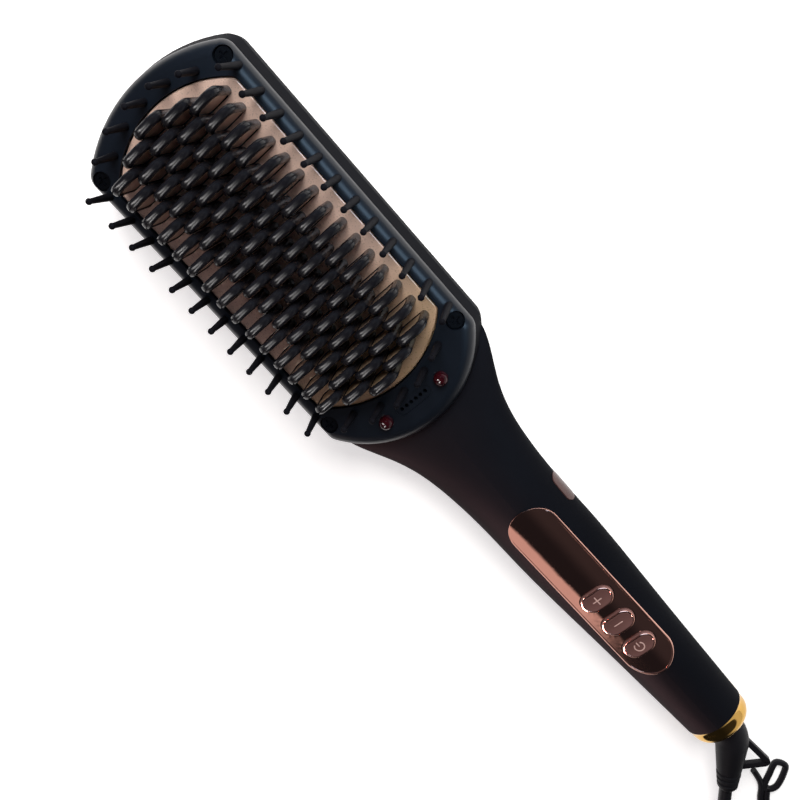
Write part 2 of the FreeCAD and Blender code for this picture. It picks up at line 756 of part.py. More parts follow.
def make_display_module():
    top = BOARD_Z + BOARD_THICK
    return box(DISPLAY_X0, DISPLAY_X1, -5, 5, top, top + 7.0)


def make_film_capacitor():
    x = BOARD_X0 + 0.375 * BOARD_LENGTH
    body = box(x - 7, x + 7, -4, 4, BOARD_Z - 3.4, BOARD_Z)
    return body.makeFillet(0.8, [e for e in body.Edges if e.BoundBox.ZMax < BOARD_Z - 3])


def make_triac():
    x = BOARD_X0 + 0.7 * BOARD_LENGTH
    tab = box(x - 8, x + 5, -5, 5, BOARD_Z - 1.3, BOARD_Z)
    body = box(x - 4, x + 5, -5, 5, BOARD_Z - 4.2, BOARD_Z - 1.3)
    tab = tab.cut(rod(1.7, x - 6, 0, BOARD_Z - 3, BOARD_Z + 1))
    return fuse([tab, body])


def make_end_ring():
    """Gold end ring: tapered outside, rounded end, bored for the turning cord entry."""
    top = END_AXIS_Z + END_UP
    low = END_AXIS_Z - END_DOWN
    steps = ((0.0, 0.0), (3.2, 0.25), (5.4, 0.75), (6.8, 1.9), (RING_LENGTH, 3.6))
    wires = []
    for run, inset in steps:
        x = RING_X + run
        wires.append(oval(x, RING_HALF - inset, top - inset, low + inset, END_AXIS_Z))
    ring = Part.makeLoft(wires, True, False)
    ring = ring.cut(shaft(SOCKET_FLANGE_R, RING_X - 1, RING_X + SOCKET_FLANGE, 0, END_AXIS_Z))
    return ring.cut(shaft(STUB_R + BORE_GAP, RING_X, X_END + 1, 0, END_AXIS_Z))


def make_swivel_socket():
    sleeve = shaft(SOCKET_R, SOCKET_X0, RING_X + SOCKET_FLANGE, 0, END_AXIS_Z)
    flange = shaft(SOCKET_FLANGE_R, RING_X, RING_X + SOCKET_FLANGE, 0, END_AXIS_Z)
    socket = sleeve.fuse(flange).removeSplitter()
    return socket.cut(shaft(SOCKET_BORE, SOCKET_X0 - 1, RING_X + 5, 0, END_AXIS_Z))


def slip_places():
    return (SOCKET_X0 - 9.5, SOCKET_X0 - 5.0)


def make_swivel_hub():
    """Turning core: carries the slip rings and locks behind the socket."""
    body = shaft(HUB_R, SOCKET_X0 - 1, STUB_X0, 0, END_AXIS_Z)
    lip = shaft(LIP_R, SOCKET_X0 - 1.5, SOCKET_X0 - RUN_GAP, 0, END_AXIS_Z)
    core = shaft(CORE_R, SOCKET_X0 - 10.5, SOCKET_X0, 0, END_AXIS_Z)
    return fuse([body, lip, core])


def make_slip_rings():
    rings = []
    for x in slip_places():
        ring = shaft(SLIP_R, x - 1, x + 1, 0, END_AXIS_Z)
        rings.append(ring.cut(shaft(CORE_R, x - 2, x + 2, 0, END_AXIS_Z)))
    return Part.makeCompound(rings)


def make_contact_springs():
    """Sprung strips from the board's end to the two slip rings."""
    springs = []
    reach = SLIP_R + RUN_GAP
    first, second = slip_places()
    low = END_AXIS_Z - reach - 0.4
    leg = box(BOARD_X1 - 1.4, BOARD_X1 - 1.0, -1.5, 1.5, low, BOARD_Z)
    run = box(BOARD_X1 - 1.4, first + 1, -1.5, 1.5, low, low + 0.4)
    springs.append(leg.fuse(run).removeSplitter())
    high = END_AXIS_Z + reach
    leg = box(BOARD_X1 - 1.4, BOARD_X1 - 1.0, -1.5, 1.5, BOARD_Z + BOARD_THICK, high + 0.4)
    run = box(BOARD_X1 - 1.4, second + 1, -1.5, 1.5, high, high + 0.4)
    springs.append(leg.fuse(run).removeSplitter())
    return Part.makeCompound(springs)


def bent_path(points, name):
    """Straight runs joined by tangent arcs."""
    edges = []
    radii = []
    last = points[0]
    for i in range(1, len(points) - 1):
        before = points[i - 1].sub(points[i])
        after = points[i + 1].sub(points[i])
        turn = math.pi - before.getAngle(after)
        reach = 0.45 * min(before.Length, after.Length)
        radii.append(reach / math.tan(turn / 2))
        start = points[i] + V(before).normalize() * reach
        end = points[i] + V(after).normalize() * reach
        chord = start.add(end) * 0.5
        inward = V(chord.sub(points[i])).normalize()
        depth = radii[-1] / math.cos(turn / 2) - radii[-1]
        edges.append(line(last, start))
        edges.append(arc(start, points[i] + inward * depth, end))
        last = end
    edges.append(line(last, points[-1]))
    print(name, "bend radii", [round(r, 1) for r in radii])
    return Part.Wire(edges)


def tube(path, radius, name):
    """Round tube along a path, its volume held against section times length."""
    first = path.OrderedEdges[0]
    start = first.valueAt(first.FirstParameter)
    heading = first.tangentAt(first.FirstParameter)
    if path.OrderedEdges[0].Orientation == "Reversed":
        start = first.valueAt(first.LastParameter)
        heading = first.tangentAt(first.LastParameter) * -1
    ring = Part.Wire([Part.Circle(start, heading, radius).toShape()])
    body = path.makePipeShell([ring], True, False)
    share = body.Volume / (math.pi * radius ** 2 * path.Length)
    print(name, "length", round(path.Length, 1), "volume share", round(share, 4))
    return body


def make_heater_leads():
    leads = []
    middle = (HEATER_INNER + HEATER_OUTER) / 2
    for side in (-1, 1):
        places = [
            (HX + HEATER_REACH + 0.1, middle, HEATER_Z + HEATER_T / 2),
            (HX + HEATER_REACH + 9.0, middle, HEATER_Z + HEATER_T / 2),
            (HX + HEAD_END - 15.5, 10.2, 12.6), (NECK_X + 11.0, 10.4, 12.4),
            (GRIP_X - 8.0, 9.4, 11.6), (BOARD_X0 - 0.3, 5.6, BOARD_Z + BOARD_THICK / 2),
        ]
        points = [V(x, side * y, z) for x, y, z in places]
        leads.append(tube(bent_path(points, "heater lead"), LEAD_R, "heater lead"))
    return Part.makeCompound(leads)


TURN = math.radians(BOOT_TURN)
AHEAD = V(math.cos(TURN), math.sin(TURN), 0)
ASIDE = V(-math.sin(TURN), math.cos(TURN), 0)
ELBOW = V(X_END + BEND_REACH, 0, END_AXIS_Z)
ELBOW_FOOT = V(ELBOW.x, 0, TIE_R)
BOOT_TIP = ELBOW + AHEAD * BOOT_LENGTH
LAYER_Z = STRAP + 0.1 + CORD_R
COIL_START = V(BOOT_TIP.x, BOOT_TIP.y, LAYER_Z) + AHEAD * COIL_RUN
COIL_CENTRE = COIL_START + ASIDE * COIL_R
COIL_STEP = 2 * CORD_R + TURN_GAP
COIL_ANGLE = math.radians(BOOT_TURN - 90)
COIL_TURNS = COIL_PASS_TURNS * COIL_LAYERS
COIL_TOP = LAYER_Z + (COIL_LAYERS - 1) * COIL_STEP


def loop_point(t, s):
    """Place on the boot's mid plane: t along the bent part, s out from its axis."""
    return ELBOW + AHEAD * t + ASIDE * s


def make_cord_boot():
    """Bent strain relief with grooves and a flat hanging loop, one rubber moulding."""
    stub = shaft(STUB_R, STUB_X0, ELBOW.x, 0, END_AXIS_Z)
    knee = Part.makeSphere(STUB_R, ELBOW)
    sleeve = Part.makeCone(STUB_R, BOOT_TIP_R, BOOT_LENGTH, ELBOW, AHEAD)
    half = LOOP_BAR / 2
    drop = V(0, 0, -half)
    outer = [loop_point(1.5, 2.0), loop_point(3.0, 6.6), loop_point(12.2, 15.4), loop_point(14.4, 14.4),
             loop_point(16.4, 5.0), loop_point(16.0, 2.0), loop_point(1.5, 2.0)]
    ear = Part.Face(Part.makePolygon([p + drop for p in outer])).extrude(V(0, 0, LOOP_BAR))
    hole = [loop_point(5.6, 6.0), loop_point(11.6, 11.8), loop_point(12.3, 11.5), loop_point(13.7, 5.2),
            loop_point(5.6, 6.0)]
    window = Part.Face(Part.makePolygon([p - UP * 9 for p in hole])).extrude(V(0, 0, 18))
    upright = [e for e in ear.Edges if e.BoundBox.ZLength > LOOP_BAR / 2]
    ear = ear.makeFillet(1.0, [e for e in upright if ASIDE.dot(e.Vertexes[0].Point - ELBOW) > 10])
    boot = fuse([stub, knee, sleeve, ear]).cut(window)
    for share in (0.7, 0.8, 0.9):
        here = ELBOW + AHEAD * (BOOT_LENGTH * share)
        radius = STUB_R + (BOOT_TIP_R - STUB_R) * share
        groove = Part.makeCylinder(radius + 2, 0.9, here, AHEAD)
        boot = boot.cut(groove.cut(Part.makeCylinder(radius - 0.5, 0.9, here, AHEAD)))
    return boot


def make_power_cord():
    ground = V(BOOT_TIP.x, BOOT_TIP.y, 0)
    points = [BOOT_TIP]
    for run, height in ((17.0, END_AXIS_Z), (36.0, LAYER_Z), (COIL_RUN, LAYER_Z)):
        points.append(ground + AHEAD * run + UP * height)
    return tube(bent_path(points, "power cord"), CORD_R, "power cord")


def coil_point(turns):
    """Middle of the cord after so many turns: in and out in passes, a layer higher each pass."""
    along = turns / COIL_PASS_TURNS
    whole = int(along)
    part = along - whole
    depth = part if whole % 2 == 0 else 1 - part
    radius = COIL_R - depth * COIL_PASS_TURNS * COIL_STEP
    height = LAYER_Z
    for layer in range(1, COIL_LAYERS):
        climb = (turns - layer * COIL_PASS_TURNS + 0.25) / 0.5
        climb = min(max(climb, 0.0), 1.0)
        height += COIL_STEP * climb * climb * (3 - 2 * climb)
    angle = COIL_ANGLE + 2 * math.pi * turns
    return V(COIL_CENTRE.x + radius * math.cos(angle), COIL_CENTRE.y + radius * math.sin(angle), height)


def coil_heading(turns):
    step = 0.01
    if turns < step or turns > COIL_TURNS - step:
        angle = COIL_ANGLE + 2 * math.pi * turns
        return V(-math.sin(angle), math.cos(angle), 0)
    return V(coil_point(turns + step).sub(coil_point(turns - step))).normalize()


def double_arc(a, heading_a, b, heading_b):
    """Two arcs that leave a and reach b along the given headings and meet without a corner."""
    gap = b.sub(a)
    both = heading_a.add(heading_b)
    square = 2 * (1 - heading_a.dot(heading_b))
    half = gap.dot(both)
    reach = (-half + math.sqrt(half ** 2 + square * gap.dot(gap))) / square
    near = a + heading_a * reach
    far = b - heading_b * reach
    joint = near.add(far) * 0.5
    edges = []
    for start, corner, end in ((a, near, joint), (joint, far, b)):
        chord = start.add(end) * 0.5
        lift = corner.sub(chord).Length
        half_chord = start.sub(chord).Length
        angle = math.atan2(lift, half_chord)
        depth = half_chord * math.tan(angle / 2)
        mid = chord + V(corner.sub(chord)).normalize() * depth
        edges.append(arc(start, mid, end))
    return edges


def make_cord_coil():
    edges = []
    quarters = int(round(COIL_TURNS * 4))
    for i in range(quarters):
        a = i / 4
        b = (i + 1) / 4
        edges += double_arc(coil_point(a), coil_heading(a), coil_point(b), coil_heading(b))
    path = Part.Wire(edges)
    marks = [coil_point(i / 48) for i in range(int(COIL_TURNS * 48) + 1)]
    least = min(
        marks[i].sub(marks[j]).Length
        for i in range(0, len(marks), 2) for j in range(i + 30, len(marks))
    )
    print("cord coil least gap between turns", round(least - 2 * CORD_R, 2))
    return tube(path, CORD_R, "cord coil")


PLUG_TURN = math.radians(200)
PLUG_DIR = V(math.cos(COIL_ANGLE + PLUG_TURN), math.sin(COIL_ANGLE + PLUG_TURN), 0)
PLUG_Z = COIL_TOP + CORD_R + 0.3 + PLUG_T / 2


def coil_place(a, b, z):
    """Place over the coil: a out towards the start of the coil, b ahead of it."""
    out = V(math.cos(COIL_ANGLE), math.sin(COIL_ANGLE), 0)
    ahead = V(-math.sin(COIL_ANGLE), math.cos(COIL_ANGLE), 0)
    return V(COIL_CENTRE.x, COIL_CENTRE.y, z) + out * a + ahead * b


PLUG_START = coil_place(-7.2, 30.8, PLUG_Z)


def make_plug_lead():
    rise = PLUG_Z - COIL_TOP
    points = [
        coil_place(COIL_R, 0, COIL_TOP),
        coil_place(COIL_R, 16.0, COIL_TOP),
        coil_place(23.2, 30.4, COIL_TOP + rise * 0.5),
        coil_place(6.0, 35.6, PLUG_Z),
        PLUG_START,
    ]
    return tube(bent_path(points, "plug lead"), CORD_R, "plug lead")


def along_plug(shape):
    """Set a piece drawn along +X at the cord's far end."""
    shape.rotate(V(0, 0, 0), UP, math.degrees(COIL_ANGLE + PLUG_TURN))
    shape.translate(PLUG_START)
    return shape


def round_rect(x, width, height, r):
    half_w = width / 2
    half_h = height / 2
    k = r * (1 - math.sqrt(0.5))
    edges = []
    for sy, sz in ((1, 1), (-1, 1), (-1, -1), (1, -1)):
        flat = V(x, sy * (half_w - r), sz * half_h)
        tall = V(x, sy * half_w, sz * (half_h - r))
        mid = V(x, sy * (half_w - k), sz * (half_h - k))
        pair = (tall, flat) if sy == sz else (flat, tall)
        edges.append(arc(pair[0], mid, pair[1]))
    links = []
    for i in range(4):
        links.append(edges[i])
        start = edges[i].valueAt(edges[i].LastParameter)
        end = edges[(i + 1) % 4].valueAt(edges[(i + 1) % 4].FirstParameter)
        links.append(line(start, end))
    return Part.Wire(Part.__sortEdges__(links))


def make_plug_body():
    """Flat two-pin plug: broad pin face, waisted grip, ribbed strain relief."""
    relief = Part.makeCone(CORD_R + 0.8, 5.0, RELIEF_LENGTH, V(0, 0, 0), V(1, 0, 0))
    sections = [
        round_rect(RELIEF_LENGTH, 12.0, 10.0, 4.0),
        round_rect(RELIEF_LENGTH + PLUG_LENGTH * 0.55, PLUG_W - 7, PLUG_T - 1, 5.0),
        round_rect(RELIEF_LENGTH + PLUG_LENGTH, PLUG_W, PLUG_T, 6.0),
    ]
    grip = Part.makeLoft(sections, True, True)
    return along_plug(fuse([relief, grip]))


def make_plug_pins():
    face = RELIEF_LENGTH + PLUG_LENGTH
    pins = []
    for side in (-1, 1):
        y = side * PLUG_PIN_SPACING / 2
        pin = shaft(PLUG_PIN_R, face, face + PLUG_PIN_LENGTH - PLUG_PIN_R, y, 0)
        tip = Part.makeSphere(PLUG_PIN_R, V(face + PLUG_PIN_LENGTH - PLUG_PIN_R, y, 0))
        pins.append(along_plug(pin.fuse(tip).removeSplitter()))
    return Part.makeCompound(pins)


def make_cord_tie():
    """Wire tie: a strap round the coil, a tail on the table and its end loop by the boot."""
    angle = math.radians(162)
    out = V(math.cos(angle), math.sin(angle), 0)
    inner_low = COIL_R - COIL_PASS_TURNS * COIL_STEP - CORD_R - 0.4
    outer_low = COIL_R + CORD_R + 0.4
    tall = COIL_TOP + CORD_R + 0.1
    band = box(inner_low - STRAP, outer_low + STRAP, -2, 2, 0, tall + STRAP)
    band = band.cut(box(inner_low, outer_low, -3, 3, STRAP, tall))
    band.rotate(V(0, 0, 0), UP, math.degrees(angle))
    base = V(COIL_CENTRE.x, COIL_CENTRE.y, 0)
    band.translate(base)
    lift = UP * TIE_R
    root = base + out * (outer_low + 0.4) + lift
    end = ELBOW_FOOT + V(37.1, -6.8, 0)
    mid = ELBOW_FOOT + V(41.9, -11.4, 0)
    tail = tube(bent_path([root, mid, end], "cord tie"), TIE_R, "cord tie")
    far = ELBOW_FOOT + V(30.7, 1.6, 0)
    near = ELBOW_FOOT + V(35.9, -5.0, 0)
    way = V(far.sub(near)).normalize()
    side = V(-way.y, way.x, 0)
    r = 3.2
    loop = Part.Wire([
        line(near + side * r, far + side * r),
        arc(far + side * r, far + way * r, far - side * r),
        line(far - side * r, near - side * r),
        arc(near - side * r, near - way * r, near + side * r),
    ])
    eye = tube(loop, TIE_R, "cord tie loop")
    stray = Part.makeCylinder(TIE_R, 10.0, ELBOW_FOOT + V(36.9, -8.0, 0), V(-1, 0.12, 0))
    return fuse([band, tail, eye, stray])


def build():
    form = handle_form(0.0)
    inner = handle_form(-WALL)
    below = below_parting()
    panel_floor = handle_form(-PANEL_DEPTH)
    cap_form = handle_form(BUTTON_PROUD)

    save("rear_shell", make_rear_shell(form, inner, below))
    save("front_shell", make_front_shell(form, inner, below, panel_floor))
    frame = make_head_frame()
    save("head_frame", frame)
    save("guard_pins", make_guard_pins(frame))
    save("heating_plate", make_heating_plate())
    save("heating_fins", make_heating_fins())
    save("fin_caps", make_fin_caps())
    save("heater_elements", make_heater_elements())
    save("insulation_sheet", make_insulation_sheet())
    save("heater_clamp", make_heater_clamp())
    save("clamp_screws", make_clamp_screws())
    save("frame_screws", make_frame_screws())
    save("temperature_sensor", make_temperature_sensor())
    save("thermal_fuse", make_thermal_fuse())
    save("heater_leads", make_heater_leads())
    save("indicator_lenses", make_indicator_lenses())
    save("indicator_board", make_indicator_board())
    save("ion_outlet", make_ion_outlet())
    save("ion_needle", make_ion_needle())
    save("ion_generator", make_ion_generator())
    save("control_panel", make_control_panel(handle_form(PANEL_PROUD), panel_floor))
    for name, x in zip(("plus_button", "minus_button", "power_button"), BUTTON_XS):
        save(name, make_button(x, cap_form))
    save("side_badge", make_side_badge())
    save("control_board", make_control_board())
    save("tact_switches", make_tact_switches())
    save("display_module", make_display_module())
    save("film_capacitor", make_film_capacitor())
    save("triac", make_triac())
    save("board_screws", make_board_screws())
    save("end_ring", make_end_ring())
    save("swivel_socket", make_swivel_socket())
    save("swivel_hub", make_swivel_hub())
    save("slip_rings", make_slip_rings())
    save("contact_springs", make_contact_springs())
    save("cord_boot", make_cord_boot())
    save("power_cord", make_power_cord())
    save("cord_coil", make_cord_coil())
    save("plug_lead", make_plug_lead())
    save("plug_body", make_plug_body())
    save("plug_pins", make_plug_pins())
    save("cord_tie", make_cord_tie())


build()
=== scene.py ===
import math

import bmesh
import bpy
from bpy.props import FloatProperty, FloatVectorProperty, IntProperty, PointerProperty
from mathutils import Matrix, Vector


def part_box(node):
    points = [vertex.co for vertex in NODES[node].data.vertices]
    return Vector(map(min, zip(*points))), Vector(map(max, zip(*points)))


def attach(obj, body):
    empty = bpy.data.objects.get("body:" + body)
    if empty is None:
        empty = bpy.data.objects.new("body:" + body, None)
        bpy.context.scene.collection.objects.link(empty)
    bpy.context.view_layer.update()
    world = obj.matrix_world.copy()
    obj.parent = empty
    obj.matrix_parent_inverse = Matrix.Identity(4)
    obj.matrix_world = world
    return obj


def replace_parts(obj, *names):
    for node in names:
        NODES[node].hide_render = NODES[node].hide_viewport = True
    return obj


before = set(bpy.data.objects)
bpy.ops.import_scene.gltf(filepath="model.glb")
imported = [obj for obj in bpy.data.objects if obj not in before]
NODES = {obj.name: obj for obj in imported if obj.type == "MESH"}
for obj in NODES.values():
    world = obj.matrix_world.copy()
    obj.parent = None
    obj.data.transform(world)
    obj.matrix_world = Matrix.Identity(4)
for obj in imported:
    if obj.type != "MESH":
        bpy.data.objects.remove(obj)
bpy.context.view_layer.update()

bl_info = {
    "name": "Heated styling brush",
    "version": (1, 0, 0),
    "blender": (4, 5, 0),
    "location": "3D View > Sidebar > Styling Brush",
    "description": "Dresses the packed styling brush with its visible pieces, finishes and stage",
    "category": "Object",
}

# The brush lies on its back, pins up: +X along the handle to the cord, +Y to its right side.
MM = 0.001
# Points that lie closer than this, in metres, count as one
TOUCH = 1e-6
PLATE_LOW, PLATE_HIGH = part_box("heating_plate")
FINS_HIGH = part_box("fin_caps")[1]
PANEL_LOW, PANEL_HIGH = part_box("control_panel")
RING_LOW, RING_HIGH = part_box("end_ring")
HEAD_X = (PLATE_LOW.x + PLATE_HIGH.x) / 2
END_AXIS_Z = 10.2 * MM

# Finish of every solid that is shown as it was built
NODE_FINISH = {
    "rear_shell": "shell_black", "front_shell": "shell_black", "head_frame": "frame_black",
    "ion_outlet": "frame_black", "guard_pins": "pin_black", "heating_plate": "plate_gold",
    "heating_fins": "fin_gold", "heater_elements": "ceramic_white", "insulation_sheet": "mica",
    "heater_clamp": "steel", "clamp_screws": "steel", "board_screws": "steel",
    "thermal_fuse": "steel", "frame_screws": "dark_steel", "temperature_sensor": "sensor_amber",
    "heater_leads": "lead_white", "indicator_lenses": "lens_red", "indicator_board": "board_green",
    "control_board": "board_green", "tact_switches": "part_black", "triac": "part_black",
    "ion_generator": "part_black", "display_module": "part_black",
    "film_capacitor": "capacitor_yellow", "control_panel": "rose_mirror",
    "side_badge": "badge_rose", "end_ring": "ring_gold", "swivel_socket": "white_plastic",
    "swivel_hub": "white_plastic", "slip_rings": "contact_brass",
    "contact_springs": "contact_brass", "ion_needle": "contact_brass", "plug_pins": "pin_chrome",
}


class BrushSizes(bpy.types.PropertyGroup):
    """Sizes of the pieces that are modelled here."""

    fin_height: FloatProperty(
        name="Fin height", description="Height of a heating fin over the plate",
        default=FINS_HIGH.z - PLATE_HIGH.z, unit="LENGTH")
    fin_span: FloatProperty(
        name="Fin span", description="Width of a fin across the brush", default=11.3 * MM, unit="LENGTH")
    fin_thick: FloatProperty(
        name="Fin thickness", description="Thickness of a fin with its cap", default=3.1 * MM,
        unit="LENGTH")
    fin_round: FloatProperty(
        name="Fin shoulder", description="Radius of a fin's shoulders", default=4.2 * MM, unit="LENGTH")
    fin_pitch: FloatProperty(
        name="Fin pitch", description="Distance between fins along the brush", default=6.424 * MM,
        unit="LENGTH")
    fin_column: FloatProperty(
        name="Fin column", description="Distance between the columns of fins", default=8.6 * MM,
        unit="LENGTH")
    cap_soft: FloatProperty(
        name="Cap rounding", description="Rounding of a cap's edges", default=1.25 * MM, unit="LENGTH")
    button_length: FloatProperty(
        name="Button length", description="Length of a button across the handle", default=12.5 * MM,
        unit="LENGTH")
    button_width: FloatProperty(
        name="Button width", description="Width of a button along the handle", default=8.0 * MM,
        unit="LENGTH")
    button_proud: FloatProperty(
        name="Button height", description="How far a button stands over the shell", default=1.6 * MM,
        unit="LENGTH")
    mark_width: FloatProperty(
        name="Mark stroke", description="Stroke width of the marks on the buttons", default=0.42 * MM,
        unit="LENGTH")
    cord_diameter: FloatProperty(
        name="Cord diameter", description="Outside diameter of the mains lead", default=5.0 * MM,
        unit="LENGTH")
    coil_radius: FloatProperty(
        name="Coil radius", description="Radius of the coil's widest turn", default=34.0 * MM,
        unit="LENGTH")
    coil_steps: IntProperty(
        name="Coil points", description="Control points for each turn of the coil", default=24, min=12)


class BrushColours(bpy.types.PropertyGroup):
    """Colours of the main finishes."""

    shell: FloatVectorProperty(
        name="Shell", description="Satin shells of head and handle", subtype="COLOR",
        default=(0.0046, 0.0049, 0.0068))
    face: FloatVectorProperty(
        name="Head frame", description="Satin face frame and ion outlet", subtype="COLOR",
        default=(0.0042, 0.0062, 0.0102))
    cap: FloatVectorProperty(
        name="Caps", description="Nylon caps and guard pins", subtype="COLOR",
        default=(0.006, 0.006, 0.008))
    plate: FloatVectorProperty(
        name="Plate", description="Coated heating plate and fins", subtype="COLOR",
        default=(0.70, 0.50, 0.41))
    panel: FloatVectorProperty(
        name="Panel", description="Mirror finish of the control panel", subtype="COLOR",
        default=(0.80, 0.44, 0.35))
    button: FloatVectorProperty(
        name="Buttons", description="Lacquer of buttons and badge", subtype="COLOR",
        default=(0.20, 0.10, 0.09))
    ring: FloatVectorProperty(
        name="End ring", description="Gold end ring", subtype="COLOR", default=(0.70, 0.42, 0.11))
    lens: FloatVectorProperty(
        name="Lamps", description="Indicator lenses", subtype="COLOR", default=(0.024, 0.002, 0.004))
    cord: FloatVectorProperty(
        name="Cord", description="Mains lead, boot, plug and tie", subtype="COLOR",
        default=(0.009, 0.009, 0.011))


class StudioLight(bpy.types.PropertyGroup):
    """Strength of the studio's lamps."""

    side_lamp: FloatProperty(
        name="Left softbox", description="Power of the warm softbox at the left", default=1.1,
        unit="POWER")
    key_lamp: FloatProperty(
        name="Key softbox", description="Power of the key over the head's top end", default=6.0,
        unit="POWER")
    rim_strip: FloatProperty(
        name="Rim strip", description="Power of the strip that glints along the right edge", default=4.0,
        unit="POWER")
    window: FloatProperty(
        name="Side windows", description="Power of each window that gives the shells their sheen",
        default=7.6, unit="POWER")
    roof_window: FloatProperty(
        name="Roof windows", description="Power of each window that streaks the caps", default=2.4,
        unit="POWER")


# Some lamps show only as glints, each set on a group of pieces. The mirror panel is in no group, because it
# would show the lamps as bright patches. The rims, the bead and the caps join when they are made.
GLINT_GROUP = "glint_pieces"
GLINT_NODES = ("head_frame", "heating_plate", "heating_fins", "guard_pins", "frame_screws", "ion_outlet",
               "front_shell", "rear_shell")
SHEEN_GROUP = "sheen_pieces"
SHEEN_NODES = ("front_shell", "rear_shell")
STREAK_GROUP = "streak_pieces"
STREAK_NODES = ("indicator_lenses",)


class Strand:
    """A socket of a finish. Arithmetic on it adds Math nodes."""

    def __init__(self, finish, link):
        self.finish = finish
        self.link = link

    def math(self, operation, first, second):
        return self.finish.node("ShaderNodeMath", {"operation": operation}, {0: first, 1: second})

    def __add__(self, other):
        return self.math("ADD", self, other)

    def __radd__(self, other):
        return self.math("ADD", other, self)

    def __mul__(self, other):
        return self.math("MULTIPLY", self, other)

    def __rmul__(self, other):
        return self.math("MULTIPLY", other, self)


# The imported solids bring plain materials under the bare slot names
FINISH_TAIL = "_finish"


class Finish:
    """A node tree under construction: one material, or the world."""

    def __init__(self, name, owner=None):
        self.owner = owner or bpy.data.materials.new(name + FINISH_TAIL)
        self.owner.use_nodes = True
        self.tree = self.owner.node_tree
        self.shader = self.tree.nodes.get("Principled BSDF")

    def feed(self, socket, value):
        if isinstance(value, Strand):
            self.tree.links.new(value.link, socket)
        else:
            socket.default_value = value

    def node(self, kind, settings=None, values=None, out=0):
        made = self.tree.nodes.new(kind)
        for key, value in (settings or {}).items():
            if key == "stops":
                ramp = made.color_ramp
                for i, (place, colour) in enumerate(value):
                    stop = ramp.elements[i] if i < 2 else ramp.elements.new(place)
                    stop.position = place
                    stop.color = colour
            else:
                setattr(made, key, value)
        for key, value in (values or {}).items():
            self.feed(made.inputs[key], value)
        return Strand(self, made.outputs[out])

    def place(self):
        """Where a point lies on the brush."""
        return self.node("ShaderNodeTexCoord", out="Object")

    def noise(self, size, detail=3.0, stretch=(1, 1, 1)):
        """Soft spots about this large, in metres, drawn out along an axis by stretch."""
        scale = tuple(1 / (size * s) for s in stretch)
        where = self.node("ShaderNodeMapping", {}, {"Vector": self.place(), "Scale": scale})
        return self.node("ShaderNodeTexNoise", {}, {"Vector": where, "Scale": 1.0, "Detail": detail})

    def mix(self, share, first, second):
        colours = {0: share, 6: opaque(first), 7: opaque(second)}
        return self.node("ShaderNodeMix", {"data_type": "RGBA"}, colours, out=2)

    def rise(self, value, start, end):
        """Smooth rise from 0 at start to 1 at end."""
        reach = {"Value": value, "From Min": start, "From Max": end}
        return self.node("ShaderNodeMapRange", {"interpolation_type": "SMOOTHSTEP"}, reach)

    def bump(self, height, depth):
        """Normal of a surface that this height moves by up to depth, in metres."""
        values = {"Height": height, "Strength": 1.0, "Distance": depth}
        return self.node("ShaderNodeBump", {}, values)

    def set(self, **values):
        for key, value in values.items():
            self.feed(self.shader.inputs[key.replace("_", " ")], value)


def opaque(colour):
    return colour if isinstance(colour, Strand) else (*colour, 1.0)


def tone(colour, share):
    return tuple(c * share for c in colour)


def moulded(name, colour, rough, grain, depth, spread=0.35, specular=0.5):
    """Moulded plastic: faint flow marks in the colour and a fine spark-eroded grain."""
    finish = Finish(name)
    flow = finish.noise(18 * MM, 2.0, (2.5, 1, 1))
    fine = finish.noise(grain * MM, 2.0)
    base = finish.mix(flow, tone(colour, 1 - spread), tone(colour, 1 + spread))
    swing = 0.06
    finish.set(Base_Color=base, Roughness=(rough - swing) + fine * swing + flow * swing)
    finish.set(Normal=finish.bump(fine, depth * MM), Specular_IOR_Level=specular)


def plated(name, colour, rough, size, stretch=(1, 1, 1), spread=0.12, metal=1.0):
    """Plated or polished metal, or metallic lacquer: clouded tone and fine polishing lines."""
    finish = Finish(name)
    cloud = finish.noise(9 * MM, 2.0)
    lines = finish.noise(size * MM, 3.0, stretch)
    base = finish.mix(cloud, tone(colour, 1 - spread), tuple(min(1, c * (1 + spread)) for c in colour))
    finish.set(Base_Color=base, Metallic=metal, Roughness=(rough * 0.7) + lines * (rough * 0.6))


def coated_plate(name, colour, rough):
    """Ceramic coat with metal flake: rosy at the head's top, yellower towards the handle."""
    finish = Finish(name)
    cloud = finish.noise(7 * MM, 4.0)
    flake = finish.noise(0.5 * MM, 1.0)
    along = finish.node("ShaderNodeSeparateXYZ", {}, {0: finish.place()}, out="X")
    share = finish.rise(along, HEAD_X + 10 * MM, PLATE_HIGH.x)
    yellow = (colour[0] * 0.86, colour[1] * 0.82, colour[2] * 0.52)
    coat = finish.mix(share, colour, yellow)
    base = finish.mix(cloud * 0.55, coat, tone(colour, 0.62))
    finish.set(Base_Color=base, Metallic=0.1 + flake * 0.4, Roughness=(rough - 0.1) + flake * 0.2)
    finish.set(Normal=finish.bump(flake, 0.012 * MM))


def lamp_glass(name, colour):
    """Tinted lens: clear gloss over a deep colour, with a prismatic inside."""
    finish = Finish(name)
    facet = finish.node("ShaderNodeTexVoronoi", {}, {"Vector": finish.place(), "Scale": 900.0})
    base = finish.mix(facet, tone(colour, 1.5), tone(colour, 0.6))
    finish.set(Base_Color=base, Roughness=0.12 + facet * 0.08, Specular_IOR_Level=0.3)


